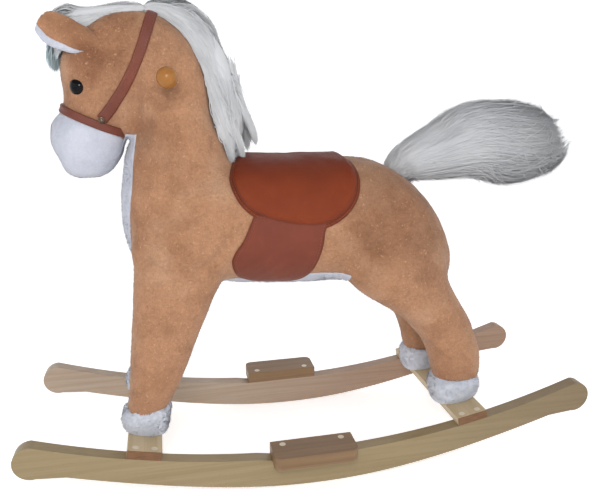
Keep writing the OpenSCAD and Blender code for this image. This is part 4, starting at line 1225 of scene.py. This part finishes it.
def tail_hair(name, count, locks, ends, seed, depth=(0.62, 1.0), short=None, thick=1.0):
    """Strands along the tail. ends is the range of where a lock ends. short is the range of a short lock's
    length, and scatters the roots all along the tail."""
    count = strands_in(count)
    f = np.linspace(0, 1, len(tail))
    phi = rng.uniform(-np.pi, np.pi, locks)
    end = rng.uniform(*ends, locks) - 0.06 * (1 - np.cos(phi))
    start = rng.uniform(0.0, 0.55, locks) * (rng.random(locks) < 0.6)
    if short:
        start = rng.uniform(-0.02, 0.86, locks)
        end = start + rng.uniform(*short, locks)
    rad = rng.uniform(*depth, locks)
    which = rng.integers(0, locks, count)
    ts = np.linspace(0, 1, 10)[None]
    t = start[which][:, None] + (end[which] * rng.uniform(0.86, 1.03, count) - start[which])[:, None] * ts
    root_ang = phi[which] + rng.normal(0, 0.24, count)
    tip_ang = phi[which] + rng.normal(0, 0.15, count)
    ang = root_ang[:, None] * (1 - ts) + tip_ang[:, None] * ts
    r = rad[which][:, None] * np.minimum(0.84 + 0.6 * ts, 1.05 if short else 1.0)
    r = r + rng.normal(0, 0.03, count)[:, None]
    x, z, high, wide = np.moveaxis(sampled(t, f, tail), -1, 0)
    over = np.clip(t - 1, 0, 0.07) * 110
    up = np.cos(ang)
    slope = np.arctan2(*[np.interp(t, f, np.gradient(tail[:, c])) for c in (1, 0)])
    p = np.stack([x - np.sin(slope) * up * r * high + over, np.sin(ang) * r * wide,
                  z + np.cos(slope) * up * r * high + over * 0.35], -1)
    p += wander(phi[which] * 40, end[which] * 200, root_ang * 10, 77, 26, seed) * (4.0 * ts ** 2)[..., None]
    out = np.stack([-np.sin(slope) * up, np.sin(ang), np.cos(slope) * up], -1)
    out = squared(out + rng.normal(0, 0.1, (count, 1, 3)), p)
    w = 0.55 * (1 - 0.88 * ts ** 3) * rng.uniform(0.7, 1.3, count)[:, None]
    # the tone falls towards the tail's end and on its underside: painted shade, the end lying further from the
    # key light and the underside facing away from it; it falls a little near the root too
    tone = rng.uniform(0.5, 0.75, locks)[which][:, None] + rng.normal(0, 0.06, (count, 1)) \
        - 0.9 * clip01((t - 0.5) / 0.5) - 0.1 * np.clip(0.2 - t, 0, 0.2) / 0.2 - 0.15 * clip01(-up)
    hair(name, p, w * thick, out, tone, body="tail")


tail_hair("tail_fluff", count=9000, locks=1500, ends=(0.9, 1.0), seed=161, depth=(0.85, 1.0),
          short=(0.10, 0.22), thick=0.8)
for part in range(2):
    tail_hair(f"tail_hair_{part + 1}", count=10000, locks=900, ends=(0.72, 0.99), seed=141 + part)
tail_hair("tail_tips", count=3600, locks=90, ends=(0.96, 1.05), seed=151, depth=(0.1, 1.0))

# ---------------------------------------------------------------- what the CAD shows as it is
TIMBER = {"rocker_left": "birch", "rocker_right": "pink", "crossbar_front": "bar", "crossbar_rear": "bar",
          "footrest_left": "stained", "footrest_right": "stained"}
node_looks = {**TIMBER, "footrest_plugs": "plug", "crossbar_plugs": "plug", "handle_dowel": "knob",
              "handle_knob_left": "knob", "handle_knob_right": "knob", "eyes": "eye", "eye_washers": "washer"}
for name, o in nodes.items():
    key = node_looks.get(name, "metal" if "screws" in name else "plywood")
    o.data.materials.clear()
    o.data.materials.append(looks[key])
    smooth(o.data)
    o.data.set_sharp_from_angle(angle=math.radians(32))
    if name in TIMBER:
        b = o.modifiers.new("edge", "BEVEL")
        b.width, b.segments, b.limit_method, b.angle_limit = 0.0016, 3, "ANGLE", math.radians(40)
        b.harden_normals = True

# ---------------------------------------------------------------- stage, lights, camera (metres)
floor_look = Look("pale_floor", 0.9)
floor_look.finish(floor_look.ramp(floor_look.noise(2.0, 2), (0.0, (0.88, 0.88, 0.885)), (1.0, 0.9)))
floor_look.b.inputs["Emission Color"].default_value = (1, 1, 1, 1)
floor_look.b.inputs["Emission Strength"].default_value = 0.5
# the floor turns up into a bowl: radius, height
bowl = catmull([(0.0, 0.0), (1.0, 0.0), (3.0, 0.0), (4.2, 0.05), (5.0, 0.4), (5.5, 1.1), (5.8, 2.2),
                (5.9, 4.0)], 6)[1:-1] / MM
n = 96
turn = 2 * np.pi * np.arange(n) / n
bv = [[r * math.cos(a), r * math.sin(a), h] for r, h in bowl for a in turn]
bf = [[(k + 1) * n + i, (k + 1) * n + (i + 1) % n, k * n + (i + 1) % n, k * n + i]
      for k in range(len(bowl) - 1) for i in range(n)] + [list(range(n))]
floor = bpy.data.objects.new("floor", mesh_of("floor", bv, bf))
floor.data.materials.append(floor_look.m)
scene = bpy.context.scene
scene.collection.objects.link(floor)

scene.view_settings.view_transform = "Standard"
scene.world = bpy.data.worlds.new("studio")
scene.world.use_nodes = True
sky = scene.world.node_tree.nodes["Background"].inputs
sky[0].default_value = (0.93, 0.95, 1.0, 1)
sky[1].default_value = 0.36


def area_light(name, at, aim, size, power, colour=(1, 1, 1)):
    lamp = bpy.data.lights.new(name, "AREA")
    lamp.size, lamp.energy, lamp.color = size, power, colour
    o = bpy.data.objects.new(name, lamp)
    o.location = at
    o.rotation_euler = (Vector(aim) - Vector(at)).to_track_quat("-Z", "Y").to_euler()
    scene.collection.objects.link(o)


area_light("key", (-0.24, -0.9, 0.78), (-0.02, 0, 0.30), 0.22, 4.0, (1.0, 0.985, 0.96))
area_light("overhead", (0.2, 0.2, 2.3), (0, 0, 0.2), 2.0, 6)
area_light("back", (0.9, 1.6, 1.3), (0, 0, 0.3), 1.2, 3.5)

cam = bpy.data.cameras.new("camera")
cam.sensor_width, cam.lens, cam.clip_end = 36.0, 37.463, 50
camera = bpy.data.objects.new("camera", cam)
yaw, pitch, roll = math.radians(12.334), math.radians(14.541), math.radians(-0.359)
fwd = Vector((math.sin(yaw) * math.cos(pitch), math.cos(yaw) * math.cos(pitch), -math.sin(pitch)))
right = Vector((math.cos(yaw), -math.sin(yaw), 0))
up = right.cross(fwd)
right, up = math.cos(roll) * right + math.sin(roll) * up, -math.sin(roll) * right + math.cos(roll) * up
turned = Matrix((right, up, -fwd)).transposed().to_4x4()
camera.matrix_world = Matrix.Translation((-0.1818, -0.7916, 0.4950)) @ turned
scene.collection.objects.link(camera)
scene.camera = camera
